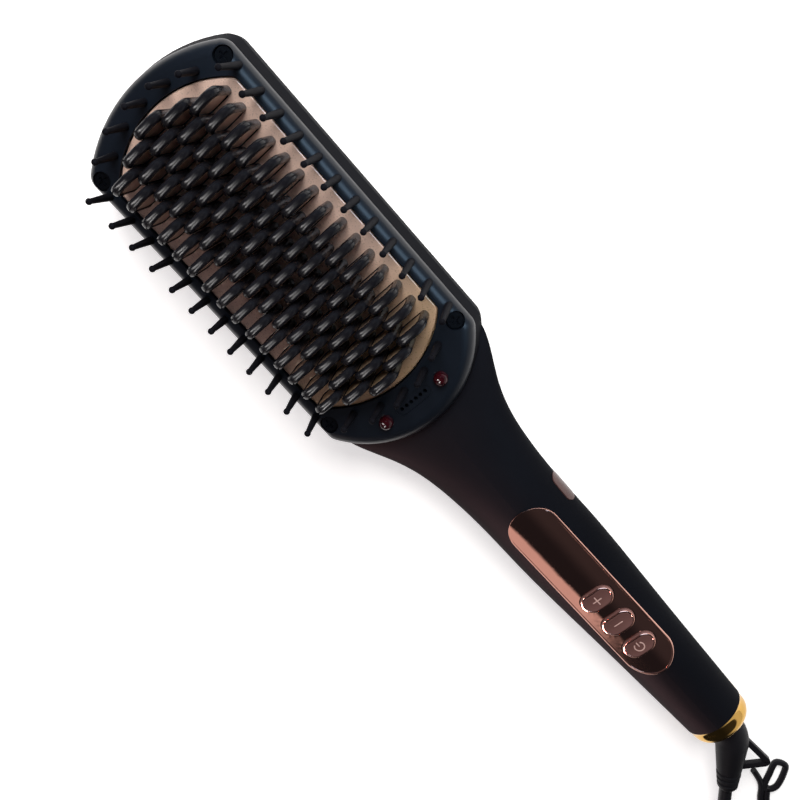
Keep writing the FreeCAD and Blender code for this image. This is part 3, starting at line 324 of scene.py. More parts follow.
def circuit(name, colour):
    """Circuit board: solder mask with copper tracks just under it."""
    finish = Finish(name)
    settings = {"wave_type": "BANDS", "bands_direction": "Y"}
    track = finish.node(
        "ShaderNodeTexWave", settings, {"Vector": finish.place(), "Scale": 260.0, "Distortion": 6.0})
    base = finish.mix(track, tone(colour, 0.6), tone(colour, 1.3))
    finish.set(Base_Color=base, Roughness=0.3 + track * 0.1, Coat_Weight=0.3)
    finish.set(Normal=finish.bump(track, 0.02 * MM))


def make_finishes():
    """One material for each finish, its fine sizes in millimetres."""
    colours = bpy.context.scene.brush_colours
    cap, cord = colours.cap, colours.cord
    moulded("shell_black", colours.shell, rough=0.62, grain=0.35, depth=0.003, specular=0.03)
    moulded("frame_black", colours.face, rough=0.36, grain=0.3, depth=0.002, specular=0.32)
    moulded("pin_black", cap, rough=0.5, grain=0.25, depth=0.003, specular=0.012)
    moulded("cap_black", cap, rough=0.26, grain=0.4, depth=0.003, specular=0.18)
    moulded("boot_rubber", cord, rough=0.46, grain=0.3, depth=0.008, specular=0.12)
    moulded("cord_black", cord, rough=0.38, grain=0.5, depth=0.008, specular=0.2)
    moulded("tie_black", tone(cord, 1.2), rough=0.42, grain=0.4, depth=0.008, specular=0.2)
    moulded("part_black", (0.02, 0.02, 0.022), rough=0.5, grain=0.2, depth=0.008)
    moulded("mark_pale", (0.52, 0.35, 0.31), rough=0.4, grain=0.3, depth=0.002, spread=0.06)
    moulded("white_plastic", (0.70, 0.70, 0.68), rough=0.4, grain=0.3, depth=0.004, spread=0.05)
    moulded("lead_white", (0.72, 0.72, 0.70), rough=0.5, grain=0.3, depth=0.006, spread=0.06)
    moulded("ceramic_white", (0.70, 0.68, 0.63), rough=0.6, grain=0.3, depth=0.01, spread=0.08)
    moulded("mica", (0.42, 0.34, 0.22), rough=0.35, grain=0.6, depth=0.01, spread=0.3)
    moulded("sensor_amber", (0.50, 0.22, 0.04), rough=0.2, grain=0.4, depth=0.004, spread=0.2)
    moulded("capacitor_yellow", (0.66, 0.42, 0.03), rough=0.3, grain=0.4, depth=0.006, spread=0.1)
    coated_plate("plate_gold", colours.plate, rough=0.30)
    # The fins take the plate's coat darkened to 0.8: painted shade on their upright flanks.
    coated_plate("fin_gold", tone(colours.plate, 0.8), rough=0.36)
    plated("rose_mirror", colours.panel, rough=0.07, size=0.5, stretch=(30, 1, 1), spread=0.06)
    plated("rose_button", colours.button, rough=0.24, size=0.4, stretch=(1, 8, 1), spread=0.10, metal=0.4)
    badge = tone(colours.button, 0.4)
    plated("badge_rose", badge, rough=0.2, size=0.4, stretch=(10, 1, 1), spread=0.10, metal=0.4)
    # The ring's wide spread of clouded tone paints dark reflections into its colour.
    plated("ring_gold", colours.ring, rough=0.10, size=0.3, stretch=(20, 1, 1), spread=0.30)
    plated("steel", (0.62, 0.62, 0.60), rough=0.30, size=0.3, stretch=(12, 1, 1))
    plated("dark_steel", (0.02, 0.02, 0.022), rough=0.45, size=0.3)
    plated("contact_brass", (0.72, 0.50, 0.18), rough=0.25, size=0.2, stretch=(1, 10, 10))
    plated("pin_chrome", (0.74, 0.74, 0.73), rough=0.16, size=0.3, stretch=(14, 1, 1))
    lamp_glass("lens_red", colours.lens)
    circuit("board_green", (0.02, 0.16, 0.06))


def finish_named(name):
    return bpy.data.materials[name + FINISH_TAIL]


def add_piece(name, mesh, finish, body, sharp=35.0):
    """A finished mesh as a piece of the brush that rides on a body."""
    mesh.shade_smooth()
    mesh.set_sharp_from_angle(angle=math.radians(sharp))
    mesh.materials.clear()
    mesh.materials.append(finish_named(finish))
    piece = bpy.data.objects.new(name, mesh)
    bpy.context.scene.collection.objects.link(piece)
    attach(piece, body)
    return piece


def catch_light(piece, group):
    """Lets a group's glint lamps shine on a piece."""
    bpy.data.collections[group].objects.link(piece)


def mesh_of(bm, name):
    """Closes seams, turns faces outwards and writes the mesh."""
    bmesh.ops.remove_doubles(bm, verts=bm.verts[:], dist=TOUCH)
    bmesh.ops.recalc_face_normals(bm, faces=bm.faces[:])
    mesh = bpy.data.meshes.new(name)
    bm.to_mesh(mesh)
    bm.free()
    return mesh


def only(geom, kind):
    return [g for g in geom if isinstance(g, kind)]


def oval_face(bm, length, width, segments):
    """Flat oval, long along X, round its own middle."""
    ring = bmesh.ops.create_circle(bm, cap_ends=True, segments=segments, radius=width / 2)["verts"]
    turn = Matrix.Rotation(math.pi / segments, 3, "Z")
    bmesh.ops.rotate(bm, verts=ring, cent=(0, 0, 0), matrix=turn)
    for side in (-1, 1):
        half = [v for v in ring if v.co.x * side > 0]
        bmesh.ops.translate(bm, verts=half, vec=(side * (length - width) / 2, 0, 0))


def thicken(bm, way):
    """Draws flat faces out into a closed block."""
    made = bmesh.ops.extrude_face_region(bm, geom=bm.faces[:])["geom"]
    bmesh.ops.translate(bm, verts=only(made, bmesh.types.BMVert), vec=way)
    bmesh.ops.recalc_face_normals(bm, faces=bm.faces[:])


def shift(bm, way):
    """Moves all that is drawn so far."""
    bmesh.ops.translate(bm, verts=bm.verts[:], vec=way)


def soften(bm, edges, offset, segments):
    return bmesh.ops.bevel(
        bm, geom=edges, offset=offset, segments=segments, profile=0.5, affect="EDGES",
        material=-1, clamp_overlap=True)


def soften_sharp(bm, offset, segments):
    """Rounds every sharp edge."""
    soften(bm, [e for e in bm.edges if e.calc_face_angle(0) > 1.0], offset, segments)


def round_corners(bm, corners, radius, segments):
    """Rounds corners of a flat face."""
    bmesh.ops.bevel(
        bm, geom=corners, offset=radius, segments=segments, profile=0.5, affect="VERTICES", material=-1)


def hollow(bm, wall):
    """Leaves only a band of this width along the edge of a flat face."""
    inner = bm.faces[:]
    bmesh.ops.inset_region(bm, faces=inner, thickness=wall, use_boundary=True, use_even_offset=True)
    bmesh.ops.delete(bm, geom=inner, context="FACES_ONLY")


def rim_edges(bm, level):
    """Edges of the flat end at this height."""
    return [e for e in bm.edges if all(abs(v.co.z - level) < TOUCH for v in e.verts)
            and any(abs(f.normal.z) < 0.5 for f in e.link_faces)]


def slice_across(bm, axis, places):
    """Cuts that let a flat face follow a curve."""
    normal = Vector((0, 0, 0))
    normal[axis] = 1
    for place in places:
        geom = bm.verts[:] + bm.edges[:] + bm.faces[:]
        bmesh.ops.bisect_plane(bm, geom=geom, dist=TOUCH, plane_co=normal * place, plane_no=normal)


# Half width of the handle along its grip, and its top and widest lines
GRIP_HALVES = ((0.0, 16.5), (0.27, 16.1), (0.64, 14.0), (1.0, 12.1))
GRIP_START = HEAD_X + 112.0 * MM
GRIP_END = RING_LOW.x
TOP_START = 26.8 * MM
TOP_END = 21.8 * MM
WIDEST_START = 17.0 * MM
WIDEST_X = HEAD_X + 71.0 * MM


def grip_share(x):
    return (x - GRIP_START) / (GRIP_END - GRIP_START)


def grip_half(x):
    """Half width of the handle at x."""
    along = grip_share(x)
    total = 0.0
    for here, half in GRIP_HALVES:
        weight = 1.0
        for other, _ in GRIP_HALVES:
            if other != here:
                weight *= (along - other) / (here - other)
        total += weight * half
    return total * MM


def crown(x, y, proud):
    """Height of the handle's upper side, grown by proud."""
    top = TOP_START + (TOP_END - TOP_START) * grip_share(x)
    share = (x - WIDEST_X) / (GRIP_END - WIDEST_X)
    middle = WIDEST_START + (END_AXIS_Z - WIDEST_START) * share
    reach = 1 - (y / (grip_half(x) + proud)) ** 2
    return middle + (top + proud - middle) * math.sqrt(max(reach, 0.0))


def lay_on_handle(bm, proud):
    """Sets a flat drawing, z = 0 at its face, onto the handle's crown."""
    for v in bm.verts:
        v.co.z += crown(v.co.x, v.co.y, proud)


# Where the boot bends and ends, and how the lead is wound past it
TURN = math.radians(-40)
AHEAD = Vector((math.cos(TURN), math.sin(TURN), 0))
ASIDE = Vector((-math.sin(TURN), math.cos(TURN), 0))
UP = Vector((0, 0, 1))
ELBOW = Vector((RING_HIGH.x + 5.2 * MM, 0, END_AXIS_Z))
BOOT_TIP = ELBOW + AHEAD * (25.5 * MM)
TABLE_Z = 3.4 * MM
LEAD_RUN = 54.0 * MM
COIL_START = Vector((BOOT_TIP.x, BOOT_TIP.y, TABLE_Z)) + AHEAD * LEAD_RUN
COIL_ANGLE = TURN - math.pi / 2
COIL_STEP = 5.5 * MM
PASS_TURNS = 2.5
COIL_PASSES = 4
CLIMB_TURNS = 0.5
COIL_TOP = TABLE_Z + (COIL_PASSES - 1) * COIL_STEP
PLUG_Z = 29.55 * MM
PLUG_ANGLE = COIL_ANGLE + math.radians(200)


def coil_middle():
    return COIL_START + ASIDE * bpy.context.scene.brush_sizes.coil_radius


def coil_point(turns):
    """Control point after so many turns: in and out in passes, a layer higher each pass."""
    sizes = bpy.context.scene.brush_sizes
    along = turns / PASS_TURNS
    whole = int(along)
    depth = along - whole if whole % 2 == 0 else 1 - (along - whole)
    radius = sizes.coil_radius - depth * PASS_TURNS * COIL_STEP
    height = TABLE_Z
    for layer in range(1, COIL_PASSES):
        climb = (turns - layer * PASS_TURNS) / CLIMB_TURNS + 0.5
        climb = min(max(climb, 0.0), 1.0)
        height += COIL_STEP * climb * climb * (3 - 2 * climb)
    angle = COIL_ANGLE + 2 * math.pi * turns
    radius /= math.cos(math.pi / sizes.coil_steps)
    middle = coil_middle()
    return Vector((middle.x + radius * math.cos(angle), middle.y + radius * math.sin(angle), height))


def coil_place(out, ahead, z):
    """Place over the coil: out towards its start, ahead along its first turn."""
    middle = coil_middle()
    start = Vector((math.cos(COIL_ANGLE), math.sin(COIL_ANGLE), 0))
    return Vector((middle.x, middle.y, z)) + start * (out * MM) + AHEAD * (ahead * MM)


def plug_start():
    """Where the lead runs into the plug."""
    return coil_place(-7.2, 30.8, PLUG_Z)


def lead_route():
    """The mains lead from the boot's tip to the plug."""
    sizes = bpy.context.scene.brush_sizes
    ground = Vector((BOOT_TIP.x, BOOT_TIP.y, 0))
    points = [BOOT_TIP.copy()]
    for run, height in ((17.0 * MM, END_AXIS_Z), (36.0 * MM, TABLE_Z), (LEAD_RUN, TABLE_Z)):
        points.append(ground + AHEAD * run + UP * height)
    count = int(PASS_TURNS * COIL_PASSES * sizes.coil_steps)
    for i in range(1, count):
        points.append(coil_point(i / sizes.coil_steps))
    middle = (COIL_TOP + PLUG_Z) / 2
    lift = ((34.0, 0.0, COIL_TOP), (34.0, 16.0, COIL_TOP), (23.2, 30.4, middle), (6.0, 35.6, PLUG_Z))
    points += [coil_place(*spot) for spot in lift]
    return points + [plug_start()]


def smooth_line(name, points, radius, roundness, cyclic=False):
    """A round line along a route, as a curve of one spline."""
    curve = bpy.data.curves.new(name, "CURVE")
    curve.dimensions = "3D"
    curve.bevel_depth = radius
    curve.bevel_resolution = roundness
    curve.resolution_u = 4
    curve.use_fill_caps = True
    spline = curve.splines.new("NURBS")
    spline.points.add(len(points) - 1)
    for knot, point in zip(spline.points, points):
        knot.co = (*point, 1.0)
    spline.order_u = 3
    spline.use_cyclic_u = cyclic
    spline.use_endpoint_u = not cyclic
    piece = bpy.data.objects.new(name, curve)
    bpy.context.scene.collection.objects.link(piece)
    return piece


def add_line(bm, name, points, radius, roundness, cyclic=False):
    """Adds a round line to a mesh."""
    source = smooth_line(name, points, radius, roundness, cyclic)
    bpy.context.view_layer.update()
    made = source.evaluated_get(bpy.context.evaluated_depsgraph_get())
    mesh = bpy.data.meshes.new_from_object(made)
    bm.from_mesh(mesh)
    bpy.data.meshes.remove(mesh)
    bpy.data.objects.remove(source)


def bead(bm, length, width, across, height, proud, segments):
    """Polished bead along an oval's edge, its crest proud of z = 0."""
    oval_face(bm, length, width, segments)
    hollow(bm, across)
    thicken(bm, (0, 0, height))
    shift(bm, (0, 0, proud - height))
    soften(bm, rim_edges(bm, proud), across / 3, 3)


class BRUSH_OT_stage(bpy.types.Operator):
    """Sets up the table, the studio light and the camera"""

    bl_idname = "styling_brush.stage"
    bl_label = "Stage"
    # Camera fitted to the photograph: place in mm from under the head's middle, turn in degrees
    lens = 41.3158
    sensor = 36.0
    eye_place = (7.75, 85.55, 309.26)
    eye_turn = (-19.28542, 6.23823, 48.24289)
    table_half = 3.0
    table_gap = 0.1 * MM
    rosy = (1.0, 0.56, 0.57)
    daylight = (1.0, 0.97, 0.95)
    aim_height = 15 * MM

    def execute(self, context):
        light = context.scene.studio_light
        context.scene.view_settings.view_transform = "Standard"
        self.camera(context)
        self.table()
        self.room(context)
        soft = [
            self.softbox("left_softbox", (60, -560, 300), (700, 420), light.side_lamp, (1.0, 0.78, 0.78)),
            self.softbox("key_softbox", (-330, 330, 480), (360, 360), light.key_lamp, (1.0, 0.97, 0.94)),
        ]
        for lamp in soft:
            lamp.visible_glossy = False
        strip = self.softbox("rim_strip", (-60, 360, 560), (700, 300), light.rim_strip, (0.50, 0.74, 1.0))
        self.shine_on([strip], GLINT_GROUP, GLINT_NODES)
        windows = [
            self.softbox("near_window", (300, -430, 220), (180, 240), light.window, self.rosy),
            self.softbox("far_window", (-330, -480, 250), (180, 240), light.window, self.rosy),
        ]
        self.shine_on(windows, SHEEN_GROUP, SHEEN_NODES)
        roof = [
            self.softbox("near_roof", (108, -244, 419), (60, 290), light.roof_window, self.daylight),
            self.softbox("far_roof", (-242, -244, 419), (60, 290), light.roof_window, self.daylight),
        ]
        self.shine_on(roof, STREAK_GROUP, STREAK_NODES)
        return {"FINISHED"}

    def shine_on(self, lamps, name, nodes):
        """Lets lamps show only as glints, and only on a group of pieces."""
        group = bpy.data.collections.new(name)
        for node in nodes:
            group.objects.link(NODES[node])
        for lamp in lamps:
            lamp.visible_diffuse = False
            lamp.light_linking.receiver_collection = group

    def camera(self, context):
        eye = bpy.data.cameras.new("photo_view")
        eye.lens = self.lens
        eye.sensor_width = self.sensor
        eye.clip_start = 0.01
        view = bpy.data.objects.new("photo_view", eye)
        view.location = Vector((HEAD_X, 0, 0)) + Vector(self.eye_place) * MM
        view.rotation_euler = [math.radians(a) for a in self.eye_turn]
        context.scene.collection.objects.link(view)
        context.scene.camera = view

    def table(self):
        """Pale table that the lamps light, bright to the camera and in reflections, with painted shade round
        the brush.
        """
        bm = bmesh.new()
        bmesh.ops.create_grid(bm, x_segments=4, y_segments=4, size=self.table_half)
        shift(bm, (0, 0, -self.table_gap))
        finish = Finish("pale_table")
        ray = finish.node("ShaderNodeLightPath", out="Is Camera Ray")
        seen = ray + finish.node("ShaderNodeLightPath", out="Is Glossy Ray")
        seen = seen + finish.node("ShaderNodeLightPath", out="Is Transmission Ray")
        paper = finish.mix(finish.noise(0.4, 2.0), (0.80, 0.80, 0.80), (0.82, 0.82, 0.82))
        finish.set(Base_Color=paper, Roughness=0.9, Specular_IOR_Level=0.0)
        away = finish.node("ShaderNodeVectorMath", {"operation": "LENGTH"}, {0: finish.place()}, out="Value")
        # The glow is weaker near the brush than far off: painted shade round the brush, on top of its real
        # shadow.
        glow_shaded_near_brush = finish.mix(finish.rise(away, 0.3, 1.0), (0.55, 0.55, 0.55), (0.88, 0.88, 0.88))
        finish.set(Emission_Color=finish.mix(seen, (0, 0, 0), glow_shaded_near_brush), Emission_Strength=1.0)
        mesh = mesh_of(bm, "table")
        mesh.materials.append(finish.owner)
        table = bpy.data.objects.new("table", mesh)
        bpy.context.scene.collection.objects.link(table)

    def room(self, context):
        """White for the camera. The brush sees a dark ceiling, a rosy wall at its left, a blue one at
        its right and a pale corner past the cord."""
        world = bpy.data.worlds.new("studio_room")
        context.scene.world = world
        room = Finish("studio_room", world)
        where = room.node("ShaderNodeTexCoord", out="Generated")
        along, across, height = (
            room.node("ShaderNodeSeparateXYZ", {}, {0: where}, out=axis) for axis in ("X", "Y", "Z"))

        def wall(colour, top, ceiling):
            """Wall of one colour up to a height, then the ceiling."""
            low, high = (*colour, 1), (*ceiling, 1)
            stops = [(0.0, low), (1.0, high), (top, low), (top + 0.06, high)]
            return room.node("ShaderNodeValToRGB", {"stops": stops}, {0: height})

        dark = (0.016, 0.016, 0.019)
        dim = (0.040, 0.038, 0.042)
        left = wall((0.70, 0.58, 0.56), 0.62, dark)
        left = room.mix(room.rise(along, 0.52, 0.57), left, dark)
        left = room.mix(room.rise(along, 0.22, 0.34), (0.10, 0.09, 0.10), left)
        right = wall((0.20, 0.28, 0.38), 0.54, dim)
        corner = wall((0.72, 0.70, 0.70), 0.46, dim)
        right = room.mix(room.rise(along, 0.25, 0.45), right, corner)
        walls = room.mix(room.rise(across, -0.2, 0.25), left, right)
        camera = room.node("ShaderNodeLightPath", out="Is Camera Ray")
        clear = camera + room.node("ShaderNodeLightPath", out="Is Transmission Ray")
        ground = room.tree.nodes["Background"]
        room.feed(ground.inputs["Color"], room.mix(clear, walls, (1, 1, 1)))

    def softbox(self, name, place, size, power, colour):
        """Rectangular lamp that faces the brush, its place and size in millimetres."""
        lamp = bpy.data.lights.new(name, "AREA")
        lamp.shape = "RECTANGLE"
        lamp.size, lamp.size_y = (s * MM for s in size)
        lamp.energy = power
        lamp.color = colour
        stand = bpy.data.objects.new(name, lamp)
        stand.location = Vector(place) * MM
        aim = Vector((0, 0, self.aim_height)) - stand.location
        stand.rotation_euler = aim.to_track_quat("-Z", "Y").to_euler()
        bpy.context.scene.collection.objects.link(stand)
        return stand


class BRUSH_OT_finishes(bpy.types.Operator):
    """Makes the finishes and gives each solid its own"""

    bl_idname = "styling_brush.finishes"
    bl_label = "Finishes"

    def execute(self, context):
        make_finishes()
        for node, finish in NODE_FINISH.items():
            mesh = NODES[node].data
            mesh.materials.clear()
            mesh.materials.append(finish_named(finish))
        return {"FINISHED"}


class BRUSH_OT_lead(bpy.types.Operator):
    """Lays the mains lead: out of the boot, wound in its coil, up to the plug"""

    bl_idname = "styling_brush.lead"
    bl_label = "Mains lead, plug and tie"
    plug_face = 40.0 * MM
    plug_length = 28.0 * MM
    plug_width = 35.0 * MM
    plug_height = 13.7 * MM
    waist_place = 27.4 * MM
    waist_width = 28.0 * MM
    waist_height = 12.7 * MM
    tail_width = 12.0 * MM
    tail_height = 10.0 * MM
    strap_thick = 0.8 * MM
    strap_width = 4.0 * MM
    strap_gap = 0.4 * MM
    strap_slack = 0.1 * MM
    strap_angle = math.radians(162)
    wire = 1.25 * MM

    def execute(self, context):
        sizes = context.scene.brush_sizes
        radius = sizes.cord_diameter / 2
        lead = smooth_line("mains_lead", lead_route(), radius, 5)
        lead.data.materials.append(finish_named("cord_black"))
        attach(lead, "lead")
        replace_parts(lead, "power_cord", "cord_coil", "plug_lead")
        plug = self.plug()
        tie = self.tie(radius)
        return {"FINISHED"}

    def plug(self):
        """Flat two-pin plug with a finger waist behind its ribbed strain relief."""
        bm = bmesh.new()
        self.relief(bm)
        block = bmesh.ops.create_cube(bm, size=1.0)["verts"]
        bmesh.ops.scale(bm, verts=block, vec=(self.plug_length, self.plug_width, self.plug_height))
        bmesh.ops.translate(bm, verts=block, vec=(self.plug_face - self.plug_length / 2, 0, 0))
        geom = {g for v in block for g in (v, *v.link_edges, *v.link_faces)}
        waist = bmesh.ops.bisect_plane(
            bm, geom=list(geom), dist=TOUCH, plane_co=(self.waist_place, 0, 0), plane_no=(1, 0, 0))
        belt = only(waist["geom_cut"], bmesh.types.BMVert)
        pull = (1, self.waist_width / self.plug_width, self.waist_height / self.plug_height)
        bmesh.ops.scale(bm, verts=belt, vec=pull)
        tail = [v for v in block if v.co.x < self.waist_place]
        pull = (1, self.tail_width / self.plug_width, self.tail_height / self.plug_height)
        bmesh.ops.scale(bm, verts=tail, vec=pull)
        own = set(block) | set(belt)
        edges = [e for e in bm.edges if own.issuperset(e.verts)]
        long = [e for e in edges if abs(e.verts[0].co.x - e.verts[1].co.x) > 2 * MM]
        soften(bm, long, 4.2 * MM, 5)
        face = [e for e in bm.edges if all(abs(v.co.x - self.plug_face) < TOUCH for v in e.verts)]
        soften(bm, face, 0.9 * MM, 3)
        place = Matrix.Translation(plug_start()) @ Matrix.Rotation(PLUG_ANGLE, 4, "Z")
        bmesh.ops.transform(bm, matrix=place, verts=bm.verts[:])
        piece = add_piece("plug", mesh_of(bm, "plug"), "cord_black", "lead")
        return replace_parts(piece, "plug_body")

    def relief(self, bm):
        """Strain relief with five ribs, turned round the lead."""
        outline = [(0, 2.5), (0, 3.3)]
        for i in range(5):
            x = 1.2 + i * 2.0
            r = 3.45 + i * 0.3
            outline += [(x, r), (x + 0.25, r - 0.5), (x + 0.75, r - 0.5), (x + 1.0, r + 0.15)]
        outline += [(11.4, 5.0), (13.0, 5.0), (13.0, 2.5)]
        chain = [bm.verts.new((x * MM, 0, r * MM)) for x, r in outline]
        links = [bm.edges.new(pair) for pair in zip(chain, chain[1:])]
        bmesh.ops.spin(
            bm, geom=chain + links, cent=(0, 0, 0), axis=(1, 0, 0), angle=2 * math.pi, steps=28,
            use_merge=True, use_duplicate=False)

    def tie(self, radius):
        """Moulded strap round the coil, its tail and the eye that lies by the boot."""
        sizes = bpy.context.scene.brush_sizes
        bm = bmesh.new()
        reach = radius + self.strap_gap + self.strap_thick
        near = sizes.coil_radius - PASS_TURNS * COIL_STEP - reach
        far = sizes.coil_radius + reach
        high = COIL_TOP + radius + self.strap_slack + self.strap_thick
        corners = [bm.verts.new(c) for c in ((near, 0, 0), (far, 0, 0), (far, 0, high), (near, 0, high))]
        bm.faces.new(corners)
        round_corners(bm, corners, 1.6 * MM, 4)
        hollow(bm, self.strap_thick)
        thicken(bm, (0, self.strap_width, 0))
        shift(bm, (0, -self.strap_width / 2, 0))
        soften_sharp(bm, 0.2 * MM, 2)
        middle = coil_middle()
        place = Matrix.Translation((middle.x, middle.y, 0)) @ Matrix.Rotation(self.strap_angle, 4, "Z")
        bmesh.ops.transform(bm, matrix=place, verts=bm.verts[:])
        root = place @ Vector((far - self.strap_thick / 2, 0, self.wire))
        tail = [root, *self.by_boot((41.9, -11.4), (37.1, -6.8))]
        add_line(bm, "tie_tail", tail, self.wire, 3)
        eye = self.by_boot(
            (39.3, -5.0), (37.6, -1.4), (34.3, 2.9), (32.3, 5.0), (28.6, 2.8), (29.6, 0.6), (32.2, -2.8),
            (35.1, -7.2), (37.5, -8.8))
        add_line(bm, "tie_eye", eye, self.wire, 3, True)
        twin = self.by_boot((27.0, -6.6), (31.5, -7.0), (35.7, -8.6), (40.3, -12.9))
        twin.append(root + Vector((-1.7 * MM, -1.7 * MM, 0)))
        add_line(bm, "tie_twin", twin, self.wire, 3)
        piece = add_piece("cord_strap", mesh_of(bm, "cord_strap"), "tie_black", "lead")
        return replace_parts(piece, "cord_tie")

    def by_boot(self, *spots):
        """Points of a wire that lies on the table, in millimetres from the boot's elbow."""
        foot = Vector((ELBOW.x, 0, self.wire))
        return [foot + Vector((x * MM, y * MM, 0)) for x, y in spots]


class BRUSH_OT_boot(bpy.types.Operator):
    """Moulds the bent strain relief and its hanging loop"""

    bl_idname = "styling_brush.boot"
    bl_label = "Cord boot"
    # Radius of the sleeve at the handle in millimetres
    mouth = 6.2
    seat = 2.0 * MM
    loop_wide = 2.2 * MM
    loop_thick = 2.2 * MM

    def execute(self, context):
        bm = bmesh.new()
        self.sleeve(bm)
        self.loop(bm)
        piece = add_piece("boot", mesh_of(bm, "boot"), "boot_rubber", "lead")
        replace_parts(piece, "cord_boot")
        return {"FINISHED"}

    def sleeve(self, bm):
        """Round sleeve drawn out ring by ring round the bend and down to the tip."""
        start = self.mouth * MM
        ring = bmesh.ops.create_circle(bm, cap_ends=True, segments=32, radius=start)["verts"]
        bmesh.ops.rotate(bm, verts=ring, cent=(0, 0, 0), matrix=Matrix.Rotation(math.pi / 2, 3, "Y"))
        centre = Vector((RING_LOW.x + self.seat, 0, END_AXIS_Z))
        bmesh.ops.translate(bm, verts=ring, vec=centre)
        heading = 0.0
        last = self.mouth
        edges = list({e for v in ring for e in v.link_edges})
        for run, turn, radius in self.steps():
            made = bmesh.ops.extrude_edge_only(bm, edges=edges)["geom"]
            verts = only(made, bmesh.types.BMVert)
            edges = [e for e in only(made, bmesh.types.BMEdge) if all(v in verts for v in e.verts)]
            way = Vector((math.cos(heading), math.sin(heading), 0))
            bmesh.ops.translate(bm, verts=verts, vec=way * (run * MM))
            centre = centre + way * (run * MM)
            heading += math.radians(turn)
            turned = Matrix.Rotation(math.radians(turn), 3, "Z")
            bmesh.ops.rotate(bm, verts=verts, cent=centre, matrix=turned)
            space = Matrix.Translation(-centre)
            bmesh.ops.scale(bm, verts=verts, vec=(radius / last,) * 3, space=space)
            last = radius
        bmesh.ops.contextual_create(bm, geom=edges)

    def steps(self):
        """Run in millimetres, turn in degrees and new radius in millimetres of each ring of the sleeve."""
        steps = [(6.3, 0, self.mouth)]
        steps += [(1.1, -5, self.mouth)] * 8
        steps += [(2.6, 0, 5.85), (4.0, 0, 5.4), (3.4, 0, 5.0), (3.0, 0, 4.66)]
        for groove in (4.3, 4.0, 3.7):
            steps += [(0.3, 0, groove), (0.5, 0, groove), (0.3, 0, groove + 0.32), (1.3, 0, groove + 0.2)]
        return steps + [(0.9, 0, 3.3), (0.35, 0, 3.0), (0.1, 0, 2.4)]

    def loop(self, bm):
        """Flat hanging loop at the side of the sleeve."""
        ear = bmesh.new()
        corners = ((2.4, 3.0), (3.0, 6.6), (12.2, 15.4), (14.4, 14.4), (16.4, 5.0), (16.3, 3.0))
        drop = UP * (self.loop_thick / 2)
        spots = [ear.verts.new(ELBOW + AHEAD * (t * MM) + ASIDE * (s * MM) - drop) for t, s in corners]
        ear.faces.new(spots)
        round_corners(ear, spots[1:5], 1.0 * MM, 4)
        hollow(ear, self.loop_wide)
        thicken(ear, (0, 0, self.loop_thick))
        soften_sharp(ear, 0.65 * MM, 3)
        mesh = mesh_of(ear, "ear")
        bm.from_mesh(mesh)
        bpy.data.meshes.remove(mesh)


class BRUSH_OT_fin_caps(bpy.types.Operator):
    """Moulds the nylon caps that edge the heating fins"""

    bl_idname = "styling_brush.fin_caps"
    bl_label = "Fin caps"
    counts = (15, 16, 17, 16, 15)
    root = 1.4 * MM
    band = 1.5 * MM
    recess = 0.45 * MM
    lip = 0.2 * MM
    crest = 0.5 * MM
    foot_round = 1.6 * MM
    flank_area = 40e-6

    def execute(self, context):
        sizes = context.scene.brush_sizes
        bm = self.cap(sizes)
        first = bm.verts[:] + bm.edges[:] + bm.faces[:]
        for column, count in enumerate(self.counts):
            y = (column - (len(self.counts) - 1) / 2) * sizes.fin_column
            for i in range(count):
                x = HEAD_X + (i - (count - 1) / 2) * sizes.fin_pitch
                copy = bmesh.ops.duplicate(bm, geom=first)["geom"]
                verts = only(copy, bmesh.types.BMVert)
                bmesh.ops.translate(bm, verts=verts, vec=(x, y, PLATE_HIGH.z))
        bmesh.ops.delete(bm, geom=only(first, bmesh.types.BMVert), context="VERTS")
        piece = add_piece("nylon_caps", mesh_of(bm, "nylon_caps"), "cap_black", "brush")
        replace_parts(piece, "fin_caps")
        catch_light(piece, STREAK_GROUP)
        return {"FINISHED"}

    def cap(self, sizes):
        """One cap: an arch with rounded edges and a window on each flank for the fin."""
        bm = bmesh.new()
        half = sizes.fin_span / 2
        top = sizes.fin_height
        outline = ((-half, -self.root), (half, -self.root), (half, top), (-half, top))
        corners = [bm.verts.new((0, y, z)) for y, z in outline]
        bm.faces.new(corners)
        round_corners(bm, corners[2:], sizes.fin_round, 6)
        thicken(bm, (sizes.fin_thick, 0, 0))
        shift(bm, (-sizes.fin_thick / 2, 0, 0))
        flanks = [f for f in bm.faces if abs(f.normal.x) > 0.9]
        soften(bm, list({e for f in flanks for e in f.edges}), sizes.cap_soft, 3)
        flanks = [f for f in bm.faces if abs(f.normal.x) > 0.99 and f.calc_area() > self.flank_area]
        for flank in flanks:
            edge = self.band - sizes.cap_soft
            bmesh.ops.inset_individual(bm, faces=[flank], thickness=edge, use_even_offset=True)
            low = min(v.co.z for v in flank.verts)
            head = [v for v in flank.verts if v.co.z > low + 4 * MM]
            bmesh.ops.translate(bm, verts=head, vec=(0, 0, -self.crest))
            foot = [v for v in flank.verts if v.co.z < low + 1e-5]
            bmesh.ops.translate(bm, verts=foot, vec=(0, 0, self.lip))
            side = flank.normal.x
            round_corners(bm, foot, self.foot_round, 3)
            window = max((f for f in bm.faces if f.normal.x * side > 0.99), key=lambda f: f.calc_area())
            bmesh.ops.inset_individual(bm, faces=[window], thickness=0.05 * MM, depth=-self.recess)
        return bm


